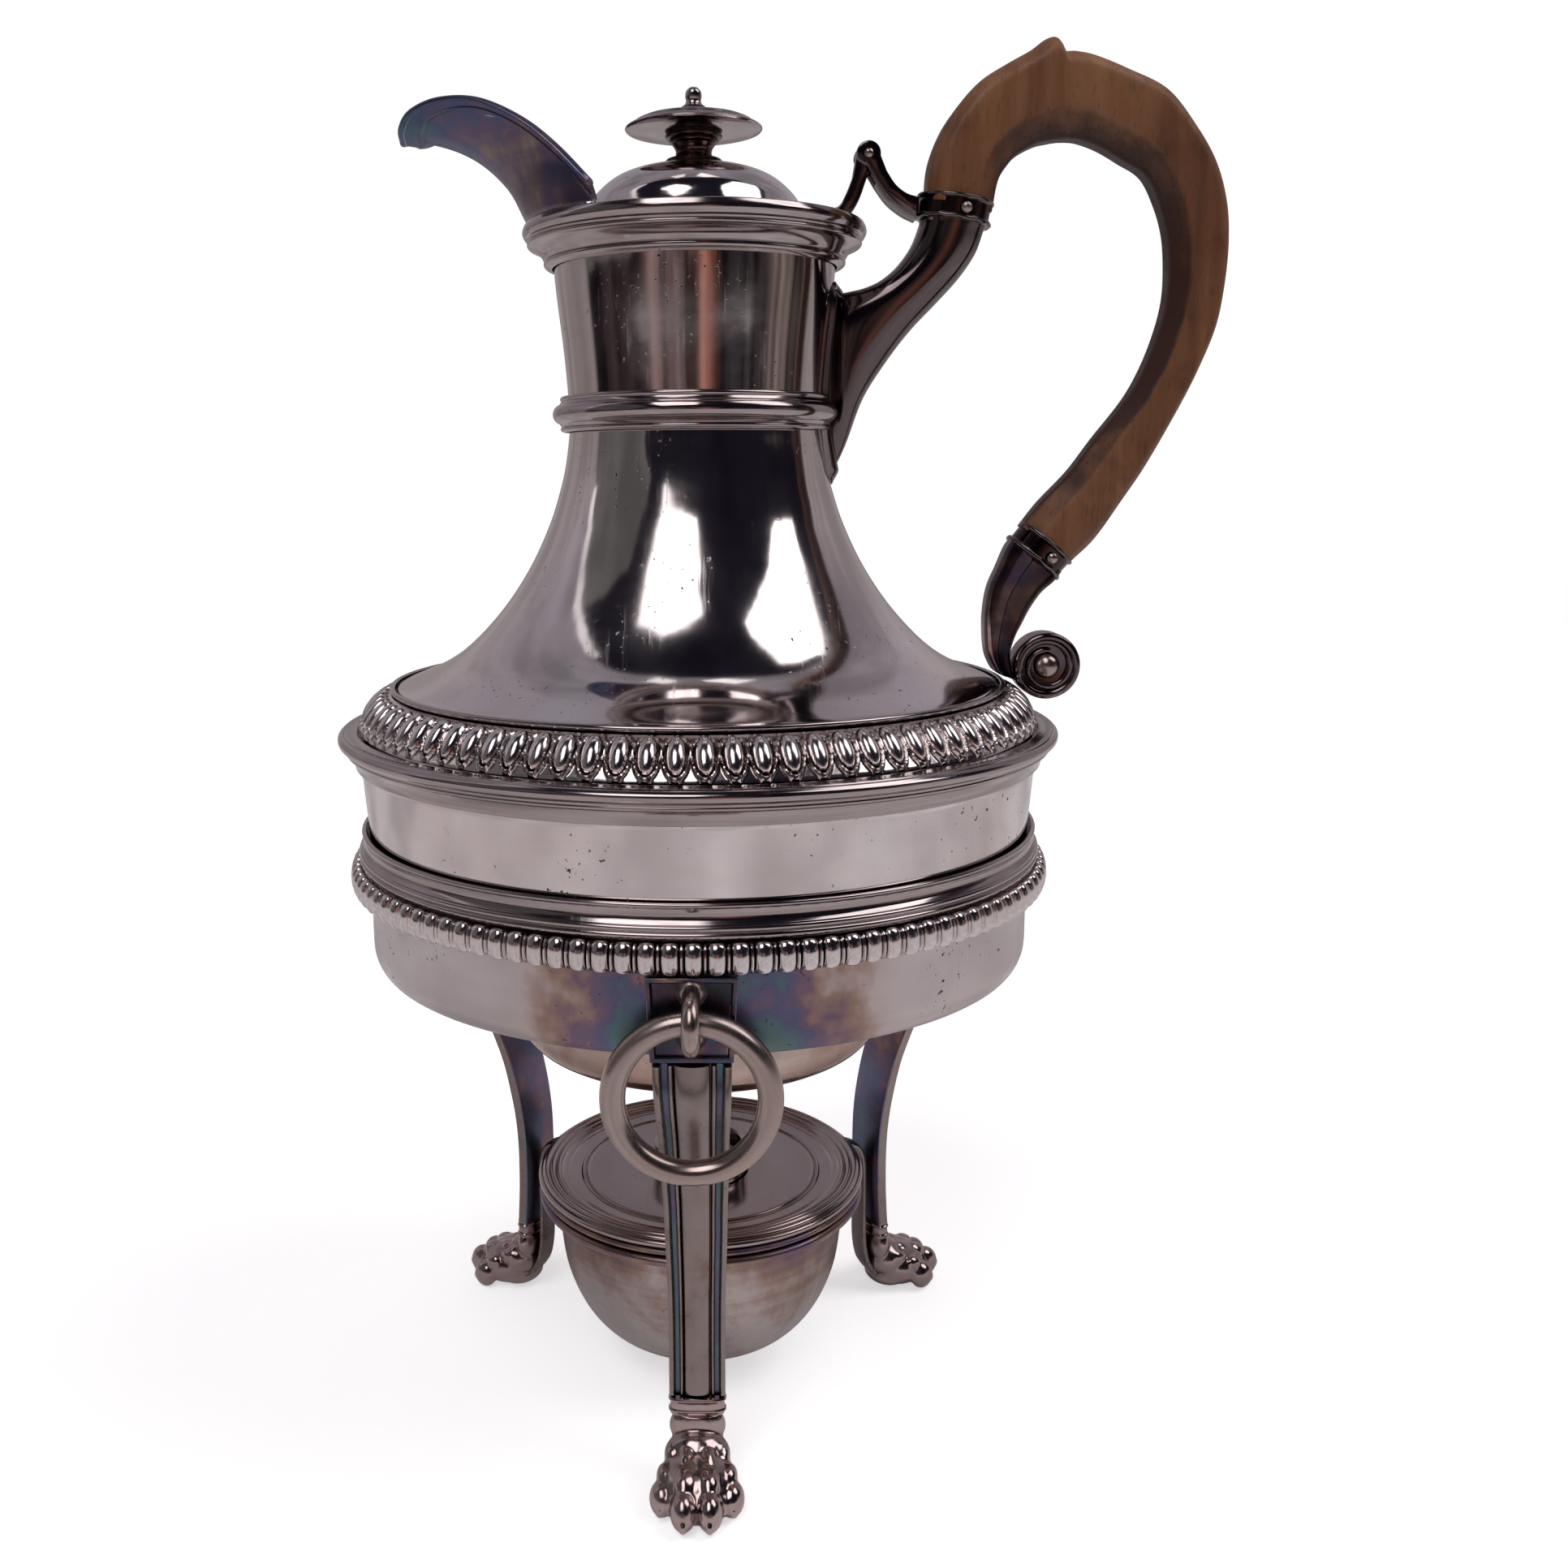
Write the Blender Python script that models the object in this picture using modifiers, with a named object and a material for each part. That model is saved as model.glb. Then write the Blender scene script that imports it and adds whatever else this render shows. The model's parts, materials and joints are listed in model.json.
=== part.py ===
"""Silver coffee pot on a three-legged warming stand with a spirit burner.

All dimensions are in millimetres, measured from the pot's axis and the table.
"""

import math

import bmesh
import bpy
import numpy as np
from mathutils import Vector

MM = 0.001
GAP = 0.35
AXIS_X, AXIS_Y = -17.2, 3.535
LEG_AZIMUTHS = {"front": -91.2, "left": 148.8, "right": 28.8}

WALL = 1.2
RING_STEPS, LATHE_STEPS = 36, 24
RIM_TOP_Z = 262.8
NECK_TOP_Z = 262.0
HINGE_X, HINGE_Z = 37.0, 277.0
HINGE_KNUCKLE_R, HINGE_PIN_R, HINGE_BORE_R = 2.6, 0.75, 0.95
KNUCKLE_HALF = 1.9

FERRULE_TOP = {"x": 55.8, "z": 265.6, "tilt": 8.5, "outer": 7.95, "inner": 6.95, "half": 2.7}
FERRULE_LOW = {"x": 76.6, "z": 193.1, "tilt": 40.0, "outer": 7.1, "inner": 6.25, "half": 2.2}
PIN_TOP = (57.2, 265.2)
PIN_LOW = (78.0, 191.8)
PIN_R, PIN_HOLE_R = 0.8, 1.05

VOLUTE_X, VOLUTE_Z, VOLUTE_R = 78.6, 167.5, 7.7

RING_R, RING_WIRE = 14.4, 2.4
RING_HANG_R, RING_HANG_Z = 80.5, 113.35
EYE_WIRE = 1.7

NECK_WALL = [
    (30.3, NECK_TOP_Z), (30.2, 252.0), (28.5, 236.0), (27.62, 223.6), (26.42, 223.6), (27.3, 236.0),
    (29.0, 252.0), (29.1, NECK_TOP_Z),
]
BELL = [
    (27.6, 223.25), (27.9, 218.0), (28.8, 212.0), (30.2, 206.5), (32.6, 199.5), (36.9, 190.6),
    (42.8, 181.8), (50.2, 173.8), (57.2, 168.9), (66.8, 165.2), (65.6, 163.4), (56.6, 167.7),
    (49.3, 172.9), (41.8, 181.0), (35.8, 190.0), (31.5, 199.0), (29.0, 206.1), (27.6, 211.8),
    (26.6, 218.0), (26.4, 223.25),
]
DRUM_WALL = [
    (67.08, 164.95), (67.6, 162.2), (71.5, 159.3), (74.2, 155.6), (75.3, 149.0), (74.15, 134.0),
    (73.9, 124.6), (73.0, 123.4), (70.9, 123.35), (70.9, 125.4), (72.6, 126.0), (74.0, 149.0),
    (72.6, 155.2), (65.86, 163.15),
]
BASE_PAN = [
    (70.55, 124.9), (70.55, 123.3), (70.2, 113.0), (67.0, 105.0), (57.0, 99.5), (43.4, 96.9),
    (42.9, 98.1), (56.4, 100.7), (65.9, 106.0), (69.0, 113.4), (69.2, 124.9),
]
WELL = [
    (42.9, 96.4), (42.8, 88.5), (41.4, 84.3), (37.0, 80.9), (26.0, 78.6), (0.0, 78.0),
    (0.0, 79.2), (25.6, 79.8), (36.0, 81.9), (40.3, 85.0), (41.6, 88.8), (41.7, 96.4),
]
RIM = [
    (30.65, RIM_TOP_Z), (36.2, RIM_TOP_Z), (36.9, 261.6), (36.4, 259.8), (35.5, 259.4),
    (35.8, 258.2), (33.2, 256.5), (31.7, 254.9), (31.7, 253.8), (30.65, 253.6),
]
NECK_RING = [
    (28.1, 227.2), (29.2, 226.4), (30.6, 225.7), (31.3, 224.2), (31.3, 222.6), (30.6, 221.1),
    (29.2, 220.4), (28.3, 219.6),
]
EGG_BAND = [
    (68.0, 164.5), (70.4, 163.2), (73.0, 160.8), (75.6, 156.7), (75.0, 156.5), (72.4, 159.7),
    (69.8, 161.9), (68.0, 162.7),
]
SHOULDER = [
    (76.0, 156.1), (78.4, 155.9), (80.0, 154.6), (79.9, 153.3), (78.2, 151.6), (76.4, 148.6),
    (75.75, 148.4), (75.75, 151.5),
]
LID = [
    (0.0, 275.3), (6.0, 275.1), (12.0, 274.2), (17.2, 272.2), (21.2, 268.9), (23.8, 264.8),
    (24.9, 263.6), (30.2, 263.5), (30.25, 262.35), (28.7, 262.3), (28.6, 258.2), (27.6, 258.2),
    (27.5, 262.3), (24.2, 262.5), (22.7, 264.2), (20.2, 268.0), (16.6, 271.1), (11.7, 273.0), (0.0, 274.1),
]
FINIAL_STEM = [
    (0.0, 281.4), (4.8, 281.4), (6.1, 280.8), (5.4, 279.5), (3.9, 278.2), (4.1, 276.6),
    (6.2, 275.9), (6.2, 275.65), (0.0, 275.65),
]
FINIAL_DISC = [
    (0.0, 286.8), (2.4, 286.8), (3.2, 286.0), (8.6, 284.9), (12.6, 283.8), (14.7, 282.7),
    (14.3, 282.1), (10.0, 281.8), (0.0, 281.8),
]
FINIAL_TIP = [(0.0, 291.2), (1.2, 290.7), (1.7, 289.6), (1.2, 288.2), (1.7, 287.15), (0.0, 287.15)]
STAND_MOULDING = [
    (74.9, 134.0), (76.0, 133.2), (76.2, 131.8), (75.5, 130.6), (76.6, 129.4), (76.6, 127.6), (74.7, 127.6),
]
GADROON_BAND = [
    (74.8, 127.2), (76.8, 127.1), (78.3, 125.0), (78.1, 122.6), (76.8, 121.0), (74.8, 121.0),
]
APRON = [
    (74.3, 120.6), (74.3, 107.6), (73.6, 105.2), (72.4, 104.0), (70.9, 104.2), (72.6, 107.6),
    (73.0, 120.6),
]
POT_REST = [(72.6, 122.9), (72.6, 121.4), (71.0, 121.4), (71.0, 122.9)]
LAMP_RING = [(38.1, 43.2), (38.5, 41.9), (38.1, 40.6), (34.8, 40.6), (34.8, 43.2)]
BURNER_BOWL = [
    (38.2, 45.0), (38.4, 44.2), (38.2, 43.55), (34.3, 43.5), (33.9, 35.0), (32.3, 24.0),
    (28.0, 14.5), (21.5, 8.2), (12.0, 4.4), (0.0, 4.4), (0.0, 5.6), (11.6, 5.6),
    (20.6, 9.2), (27.0, 15.2), (31.1, 24.4), (32.7, 35.2), (32.9, 45.0),
]
BURNER_LID = [
    (36.8, 47.9), (38.4, 47.3), (38.9, 46.4), (38.4, 45.35), (33.0, 45.35), (32.4, 44.8),
    (11.6, 44.8), (11.6, 45.9), (27.5, 46.3), (30.0, 46.9), (34.6, 47.1),
]
WICK_TUBE = [
    (9.9, 52.4), (11.2, 52.4), (11.4, 51.8), (11.1, 51.2), (11.1, 38.0), (9.9, 38.0),
]
WICK = [(0.0, 50.6), (7.5, 50.6), (8.8, 49.6), (9.3, 47.8), (9.3, 20.0), (0.0, 20.0)]

HANDLE_SECTIONS = [
    ((49.8, 265.2), (61.4, 263.5), 5.9), ((50.4, 269.4), (62.1, 267.6), 5.9),
    ((48.5, 269.9), (64.2, 267.6), 6.9), ((50.0, 274.9), (64.7, 271.4), 6.9),
    ((52.5, 281.7), (66.6, 274.6), 6.8), ((56.3, 287.2), (68.5, 276.6), 6.7),
    ((60.6, 291.6), (70.6, 277.9), 6.6), ((66.1, 294.9), (73.2, 279.0), 6.6),
    ((70.6, 297.0), (75.3, 279.4), 6.5), ((75.9, 300.1), (77.2, 279.7), 6.5),
    ((78.2, 296.9), (78.6, 279.8), 6.5), ((84.2, 296.4), (82.0, 279.5), 6.5),
    ((91.0, 293.8), (86.2, 278.0), 6.5), ((99.0, 288.9), (90.9, 275.4), 6.5),
    ((106.2, 282.3), (95.0, 271.4), 6.5), ((110.9, 274.9), (98.0, 265.6), 6.5),
    ((113.6, 266.6), (99.7, 259.9), 6.5), ((114.4, 258.3), (100.3, 253.5), 6.5),
    ((114.0, 249.8), (100.2, 247.0), 6.5), ((112.7, 241.3), (98.8, 240.3), 6.4),
    ((109.6, 232.8), (96.3, 233.2), 6.3), ((105.6, 224.2), (92.9, 226.4), 6.2),
    ((99.0, 211.9), (87.4, 217.4), 6.1), ((93.9, 204.0), (82.4, 210.6), 6.1),
    ((88.4, 195.9), (76.0, 203.8), 6.2), ((84.5, 191.4), (72.5, 199.7), 6.3),
    ((82.6, 192.4), (74.0, 198.1), 5.1), ((80.1, 189.2), (71.4, 194.8), 5.1),
]
SOCKET_SECTIONS = [
    ((48.3, 262.6), (62.1, 261.3), 6.5), ((46.6, 258.3), (60.4, 256.6), 6.4),
    ((43.6, 254.2), (57.0, 251.6), 6.2), ((40.2, 251.4), (52.4, 246.6), 6.0),
    ((36.9, 249.9), (46.6, 240.6), 5.8), ((33.9, 249.2), (41.2, 233.6), 5.6),
    ((31.9, 248.8), (36.8, 226.2), 5.6), ((30.9, 248.6), (33.8, 217.5), 5.6),
    ((30.7, 248.4), (30.4, 210.6), 5.6),
]
ARM_SECTIONS = [
    ((69.0, 194.0), (79.3, 186.4), 4.6), ((67.2, 189.7), (76.7, 184.0), 4.3),
    ((65.3, 185.0), (74.4, 180.6), 4.1), ((64.5, 179.4), (72.8, 177.4), 4.0),
    ((64.6, 174.1), (71.2, 174.0), 4.0), ((65.2, 170.0), (70.3, 170.3), 4.0),
    ((66.6, 167.0), (70.8, 166.4), 4.3), ((67.6, 165.9), (71.6, 164.3), 4.6),
]
LEG_PATH = [
    (75.3, 103.7, 7.7), (73.6, 98.0, 7.6), (69.9, 91.5, 7.4), (65.0, 85.0, 7.1), (60.0, 78.0, 6.9),
    (56.4, 71.0, 6.8), (53.5, 64.0, 6.6), (51.5, 56.5, 6.4), (50.2, 49.0, 6.1), (49.7, 41.0, 5.9),
    (49.8, 31.0, 5.8), (50.3, 22.5, 5.7), (50.6, 19.3, 5.7),
]
LEG_SECTION = [
    (-1.0, -1.3), (1.0, -1.3), (1.0, 1.0), (0.8, 1.5), (0.62, 0.7), (0.4, 0.7), (0.25, 1.5),
    (-0.25, 1.5), (-0.4, 0.7), (-0.62, 0.7), (-0.8, 1.5), (-1.0, 1.0),
]
PAW_PATH = [
    (50.7, 18.9, 2.2, 6.0), (50.9, 15.8, 2.2, 5.9), (51.9, 12.6, 2.6, 5.6), (54.2, 10.2, 3.9, 6.4),
    (57.6, 7.4, 6.4, 8.4), (62.0, 6.6, 7.2, 9.9), (66.4, 5.4, 6.0, 10.3), (69.2, 4.3, 4.2, 8.8),
    (70.7, 3.7, 2.0, 5.4),
]
STRAP_PATH = [
    (39.0, 42.0), (42.2, 42.2), (44.8, 41.0), (46.4, 38.0), (46.9, 34.0), (47.0, 24.0),
    (47.1, 15.0), (48.1, 9.2), (49.9, 5.9), (51.9, 3.6),
]

SPOUT_EDGE = [
    (-61.8, 0.0, 280.3), (-61.0, 5.6, 281.9), (-58.0, 10.2, 284.2), (-51.7, 14.2, 285.6),
    (-43.6, 17.6, 284.8), (-34.8, 21.8, 280.4), (-27.0, 26.2, 273.9), (-19.4, 30.2, 265.6),
]
SPOUT_ROOT_R, SPOUT_ROOT_Z, SPOUT_SPREAD = 35.2, 263.3, 58.0
SPOUT_COLUMNS, SPOUT_ROWS = 20, 6
SPOUT_WALL_REACH, SPOUT_LIP_R, SPOUT_LIP_GAP = 0.88, 0.9, 0.75


def clear_scene():
    """Empties the scene."""
    for found in list(bpy.data.objects):
        bpy.data.objects.remove(found)


def collection(name, hidden=False):
    """A collection in the scene."""
    made = bpy.data.collections.new(name)
    made.hide_render = hidden
    bpy.context.scene.collection.children.link(made)
    return made


def frame_empty(name, x, y, z, turn=0.0):
    """An empty that carries pieces, turned about Z."""
    empty = bpy.data.objects.new(name, None)
    empty.location = (x * MM, y * MM, z * MM)
    empty.rotation_euler = (0, 0, math.radians(turn))
    PARTS.objects.link(empty)
    return empty


def material(name, colour, metallic, roughness):
    """A Principled material."""
    made = bpy.data.materials.new(name)
    made.use_nodes = True
    shader = made.node_tree.nodes["Principled BSDF"]
    shader.inputs["Base Color"].default_value = (*colour, 1.0)
    shader.inputs["Metallic"].default_value = metallic
    shader.inputs["Roughness"].default_value = roughness
    made.diffuse_color = (*colour, 1.0)
    return made


def silver(name):
    """Polished silver."""
    return material(name, (0.78, 0.76, 0.77), 1.0, 0.2)


def fruitwood(name):
    """Worn varnished fruitwood."""
    return material(name, (0.40, 0.24, 0.13), 0.0, 0.45)


def cotton(name):
    """Cotton wick."""
    return material(name, (0.80, 0.77, 0.68), 0.0, 0.9)


def finish_object(name, mesh, make_material, parent, smooth_angle=35.0):
    """Links the mesh as a named sub-part with its own material."""
    made = bpy.data.objects.new(name, mesh)
    PARTS.objects.link(made)
    made.parent = parent
    mesh.materials.append(make_material(name + "_finish"))
    mesh.shade_smooth()
    mesh.set_sharp_from_angle(angle=math.radians(smooth_angle))
    return made


def mesh_from_bmesh(name, shape):
    """The mesh of a bmesh, with its faces turned out."""
    bmesh.ops.recalc_face_normals(shape, faces=shape.faces)
    mesh = bpy.data.meshes.new(name)
    shape.to_mesh(mesh)
    shape.free()
    return mesh


def turned(name, profile, parent, make_material=silver, steps=48):
    """A solid turned about Z from a profile that runs down its outer side."""
    points = [(r * MM, 0.0, z * MM) for r, z in profile]
    count = len(points)
    on_axis = [profile[i][0] == 0.0 for i in range(count)]
    edges = [(i, (i + 1) % count) for i in range(count)]
    edges = [e for e in edges if not (on_axis[e[0]] and on_axis[e[1]])]
    mesh = bpy.data.meshes.new(name)
    mesh.from_pydata(points, edges, [])
    made = finish_object(name, mesh, make_material, parent)
    screw = made.modifiers.new("turn", "SCREW")
    screw.steps = screw.render_steps = steps
    screw.use_merge_vertices = True
    screw.merge_threshold = 0.00002
    screw.use_smooth_shade = True
    return made


def circle_profile(centre_r, centre_z, radius, sides):
    """A round section that runs down its outer side."""
    angles = [math.pi / 2 - math.tau * i / sides for i in range(sides)]
    return [(centre_r + radius * math.cos(a), centre_z + radius * math.sin(a)) for a in angles]


def loft(name, rings, parent, make_material=silver):
    """A closed solid through rings of matching points, in millimetres."""
    shape = bmesh.new()
    rows = [[shape.verts.new([c * MM for c in p]) for p in ring] for ring in rings]
    count = len(rows[0])
    for low, high in zip(rows, rows[1:]):
        for i in range(count):
            j = (i + 1) % count
            shape.faces.new((low[i], low[j], high[j], high[i]))
    shape.faces.new(rows[0])
    shape.faces.new(rows[-1])
    return finish_object(name, mesh_from_bmesh(name, shape), make_material, parent)


def rounded(half_u, half_v, sides, power):
    """Points of a rounded section, from a circle at power 2 to a soft rectangle above it."""
    points = []
    for i in range(sides):
        a = math.tau * (i + 0.5) / sides
        c, s = math.cos(a), math.sin(a)
        reach = (abs(c) ** power + abs(s) ** power) ** (-1.0 / power)
        points.append((half_u * reach * c, half_v * reach * s))
    return points


def between_edges(name, sections, parent, make_material=silver, sides=16, power=2.6):
    """A bar in the XZ plane, drawn by its two edges, each section (edge, edge, half width)."""
    rings = []
    for one, two, half_width in sections:
        a, b = Vector((one[0], 0, one[1])), Vector((two[0], 0, two[1]))
        middle, across = (a + b) / 2, (a - b) / 2
        ring = [middle + across * u + Vector((0, v, 0)) for u, v in rounded(1.0, half_width, sides, power)]
        rings.append(ring)
    return loft(name, rings, parent, make_material)


def path_normals(path):
    """The outward normals of a path in the XZ plane."""
    points = np.array([(p[0], p[1]) for p in path], float)
    tangents = np.gradient(points, axis=0)
    tangents /= np.linalg.norm(tangents, axis=1)[:, None]
    return [(-t[1], t[0]) for t in tangents]


def along_path(name, path, section_at, parent):
    """A bar along a path in the XZ plane, with section_at(index) giving (across Y, out) points."""
    rings = []
    for i, (station, normal) in enumerate(zip(path, path_normals(path))):
        ring = []
        for across, out in section_at(i):
            ring.append((station[0] + normal[0] * out, across, station[1] + normal[1] * out))
        rings.append(ring)
    return loft(name, rings, parent)


def extruded(name, outline, half_width, parent):
    """A flat piece with its outline in the XZ plane, centred on Y 0."""
    rings = [[(x, y, z) for x, z in outline] for y in (-half_width, half_width)]
    return loft(name, rings, parent)


def box(name, low, high, parent):
    """A block between two corners."""
    rings = []
    for z in (low[2], high[2]):
        ring = [(low[0], low[1], z), (high[0], low[1], z), (high[0], high[1], z), (low[0], high[1], z)]
        rings.append(ring)
    return loft(name, rings, parent)


def as_cutter(made):
    """Keeps a helper out of the solids."""
    PARTS.objects.unlink(made)
    CUTTERS.objects.link(made)
    made.hide_render = True
    made.display_type = "WIRE"
    return made


def round_cutter(name, x, z, radius, half_length, parent, sides=16):
    """A cutter round an axis along Y."""
    rings = []
    for y in (-half_length, half_length):
        angles = [math.tau * (i + 0.5) / sides for i in range(sides)]
        rings.append([(x + radius * math.cos(a), y, z + radius * math.sin(a)) for a in angles])
    return as_cutter(loft(name, rings, parent))


def cut(made, *cutters):
    """Takes the cutters out of a piece."""
    for cutter in cutters:
        boolean = made.modifiers.new(cutter.name, "BOOLEAN")
        boolean.operation = "DIFFERENCE"
        boolean.solver = "EXACT"
        boolean.object = cutter
    return made


def along_y(made, x, z):
    """Stands a piece that was turned about Z on an axis along Y."""
    made.location = (x * MM, 0, z * MM)
    made.rotation_euler = (math.radians(90), 0, 0)
    return made


def arc(x, z, radius, start, end, count):
    """Points on an arc in the XZ plane, angles in degrees."""
    angles = [math.radians(start + (end - start) * i / (count - 1)) for i in range(count)]
    return [(x + radius * math.cos(a), z + radius * math.sin(a)) for a in angles]


def build_pot_body(parent):
    """The raised body in its four seamed parts, open at the neck and over the well."""
    turned("pot_neck", NECK_WALL, parent, steps=RING_STEPS)
    turned("pot_bell", BELL, parent, steps=RING_STEPS)
    turned("pot_drum", DRUM_WALL, parent, steps=RING_STEPS)
    turned("pot_base", BASE_PAN, parent, steps=RING_STEPS)
    turned("pot_well", WELL, parent, steps=LATHE_STEPS)
    turned("rim_moulding", RIM, parent, steps=RING_STEPS)
    turned("egg_band", EGG_BAND, parent, steps=RING_STEPS)
    turned("shoulder_flange", SHOULDER, parent, steps=RING_STEPS)
    ring = turned("neck_ring", NECK_RING, parent, steps=RING_STEPS)
    cut(ring, as_cutter(box("ring_gap", (0, -6.6, 215), (40, 6.6, 232), parent)))


def spout_point(across, along, edge):
    """A point of the beak: across from -1 to 1, along from the rim to the lip."""
    spread = math.radians(SPOUT_SPREAD * across)
    root = np.array((-SPOUT_ROOT_R * math.cos(spread), SPOUT_ROOT_R * math.sin(spread), SPOUT_ROOT_Z))
    rise = 4.6 * math.sin(math.pi * along) * max(0.0, math.cos(math.pi / 2 * across)) ** 1.5
    point = root * (1 - along) + edge * along
    point[2] += rise * 0.85
    point[0] += rise * 0.5
    return point


def spout_edge_at(across):
    """A point of the lip line, smooth through its listed points, across from -1 to 1."""
    last = len(SPOUT_EDGE) - 1
    place = min(abs(across), 0.999) * last
    first = int(place)
    t = place - first
    nearby = []
    for i in range(first - 1, first + 3):
        x, y, z = SPOUT_EDGE[min(abs(i), last)]
        nearby.append(np.array((x, -y if i < 0 else y, z)))
    before, start, end, after = nearby
    point = start + 0.5 * t * (end - before)
    point += 0.5 * t * t * (2 * before - 5 * start + 4 * end - after)
    point += 0.5 * t**3 * (3 * start - before - 3 * end + after)
    point[1] *= math.copysign(1.0, across)
    return point


def build_spout(parent):
    """The open beak on the rim and the wire that edges its lip."""
    shape = bmesh.new()
    rows = []
    for i in range(SPOUT_COLUMNS + 1):
        across = SPOUT_WALL_REACH * (2 * i / SPOUT_COLUMNS - 1)
        edge = spout_edge_at(across)
        column = edge - spout_point(across, 0.0, edge)
        lip_line = spout_edge_at(across + 0.01) - spout_edge_at(across - 0.01)
        slant = np.linalg.norm(np.cross(column, lip_line)) / np.linalg.norm(lip_line)
        wall_end = 1 - (SPOUT_LIP_R + SPOUT_LIP_GAP) / slant
        row = []
        for j in range(SPOUT_ROWS + 1):
            point = spout_point(across, wall_end * j / SPOUT_ROWS, edge)
            row.append(shape.verts.new(Vector(point) * MM))
        rows.append(row)
    for a, b in zip(rows, rows[1:]):
        for j in range(SPOUT_ROWS):
            shape.faces.new((a[j], a[j + 1], b[j + 1], b[j]))
    mesh = bpy.data.meshes.new("spout")
    shape.to_mesh(mesh)
    shape.free()
    spout = finish_object("spout", mesh, silver, parent)
    wall = spout.modifiers.new("wall", "SOLIDIFY")
    wall.thickness = WALL * MM
    wall.offset = 0.0
    wall.use_even_offset = False

    curve = bpy.data.curves.new("spout_lip", "CURVE")
    curve.dimensions = "3D"
    curve.bevel_depth = SPOUT_LIP_R * MM
    curve.bevel_resolution = 1
    curve.use_fill_caps = True
    line = curve.splines.new("POLY")
    steps = [2 * i / 28 - 1 for i in range(29)]
    line.points.add(len(steps) - 1)
    for point, across in zip(line.points, steps):
        place = Vector(spout_edge_at(0.95 * across)) * MM
        point.co = (*place, 1.0)
    lip = bpy.data.objects.new("spout_lip", curve)
    PARTS.objects.link(lip)
    lip.parent = parent
    curve.materials.append(silver("spout_lip_finish"))


def build_handle(parent):
    """The wood grip, the two sockets that hold it and their pins."""
    top, low = FERRULE_TOP, FERRULE_LOW
    hole_top = round_cutter("pin_hole_top", *PIN_TOP, PIN_HOLE_R, 12.0, parent)
    hole_low = round_cutter("pin_hole_low", *PIN_LOW, PIN_HOLE_R, 12.0, parent)
    grip = between_edges("wood_handle", HANDLE_SECTIONS, parent, fruitwood, sides=12, power=3.0)
    cut(grip, hole_top, hole_low)
    for name, ferrule, hole in (("upper_ferrule", top, hole_top), ("lower_ferrule", low, hole_low)):
        half, outer, inner = ferrule["half"], ferrule["outer"], ferrule["inner"]
        profile = [
            (inner, half), (outer - 0.1, half), (outer + 0.25, half - 0.6), (outer - 0.15, half - 1.2),
            (outer - 0.15, 1.0 - half), (outer + 0.2, 0.5 - half), (outer - 0.1, -half), (inner, -half),
        ]
        made = turned(name, profile, parent, steps=LATHE_STEPS)
        made.location = (ferrule["x"] * MM, 0, ferrule["z"] * MM)
        made.rotation_euler = (0, math.radians(ferrule["tilt"]), 0)
        cut(made, hole)
    for name, place, reach in (("upper_pin", PIN_TOP, 8.6), ("lower_pin", PIN_LOW, 7.8)):
        profile = [
            (0, reach), (0.7, reach - 0.1), (PIN_R, reach - 0.5),
            (PIN_R, 0.5 - reach), (0.7, 0.1 - reach), (0, -reach),
        ]
        along_y(turned(name, profile, parent, steps=12), *place)
    between_edges("upper_socket", SOCKET_SECTIONS, parent, sides=14, power=2.2)
    between_edges("lower_arm", ARM_SECTIONS, parent, sides=12, power=3.0)
    rim, inner = VOLUTE_R, VOLUTE_R - 1.8
    profile = [
        (0, 5.4), (1.9, 5.0), (3.2, 3.6), (3.5, 2.6), (inner, 2.6), (inner + 0.3, 3.9), (rim - 0.5, 4.2),
        (rim, 3.4), (rim, -3.4), (rim - 0.5, -4.2), (inner + 0.3, -3.9), (inner, -2.6), (3.5, -2.6),
        (3.2, -3.6), (1.9, -5.0), (0, -5.4),
    ]
    along_y(turned("scroll_volute", profile, parent, steps=24), VOLUTE_X, VOLUTE_Z)


def build_hinge(parent, lid_frame):
    """The stand-away hinge: a forked arm from the socket, the pin and the lid's leaf."""
    bore = round_cutter("hinge_bore", HINGE_X, HINGE_Z, HINGE_BORE_R, 8.0, parent)
    slot = round_cutter("hinge_slot", HINGE_X, HINGE_Z, 3.7, KNUCKLE_HALF + GAP, parent)
    outline = arc(HINGE_X, HINGE_Z, HINGE_KNUCKLE_R, -10, 275, 14)
    outline += [(38.9, 270.8), (41.4, 267.6), (44.5, 265.2), (47.1, 263.9)]
    outline += [(47.35, 267.9), (45.2, 268.8), (42.8, 270.6), (40.9, 273.2)]
    bracket = extruded("hinge_bracket", outline, 3.6, parent)
    cut(bracket, slot, bore)
    profile = [(0, 4.1), (0.6, 4.0), (HINGE_PIN_R, 3.7), (HINGE_PIN_R, -3.7), (0.6, -4.0), (0, -4.1)]
    along_y(turned("hinge_pin", profile, parent, steps=12), HINGE_X, HINGE_Z)

    outline = arc(HINGE_X, HINGE_Z, HINGE_KNUCKLE_R, -65, 195, 14)
    outline += [(33.7, 272.4), (32.1, 268.8), (30.2, 266.2), (26.2, 265.6), (26.2, 263.9)]
    outline += [(31.4, 263.9), (33.4, 265.2), (35.1, 268.0), (36.6, 272.2)]
    outline = [(x - HINGE_X, z - HINGE_Z) for x, z in outline]
    leaf = extruded("lid_leaf", outline, KNUCKLE_HALF, lid_frame)
    lid_bore = round_cutter("lid_bore", 0, 0, HINGE_BORE_R, 8.0, lid_frame)
    cut(leaf, lid_bore)


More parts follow.
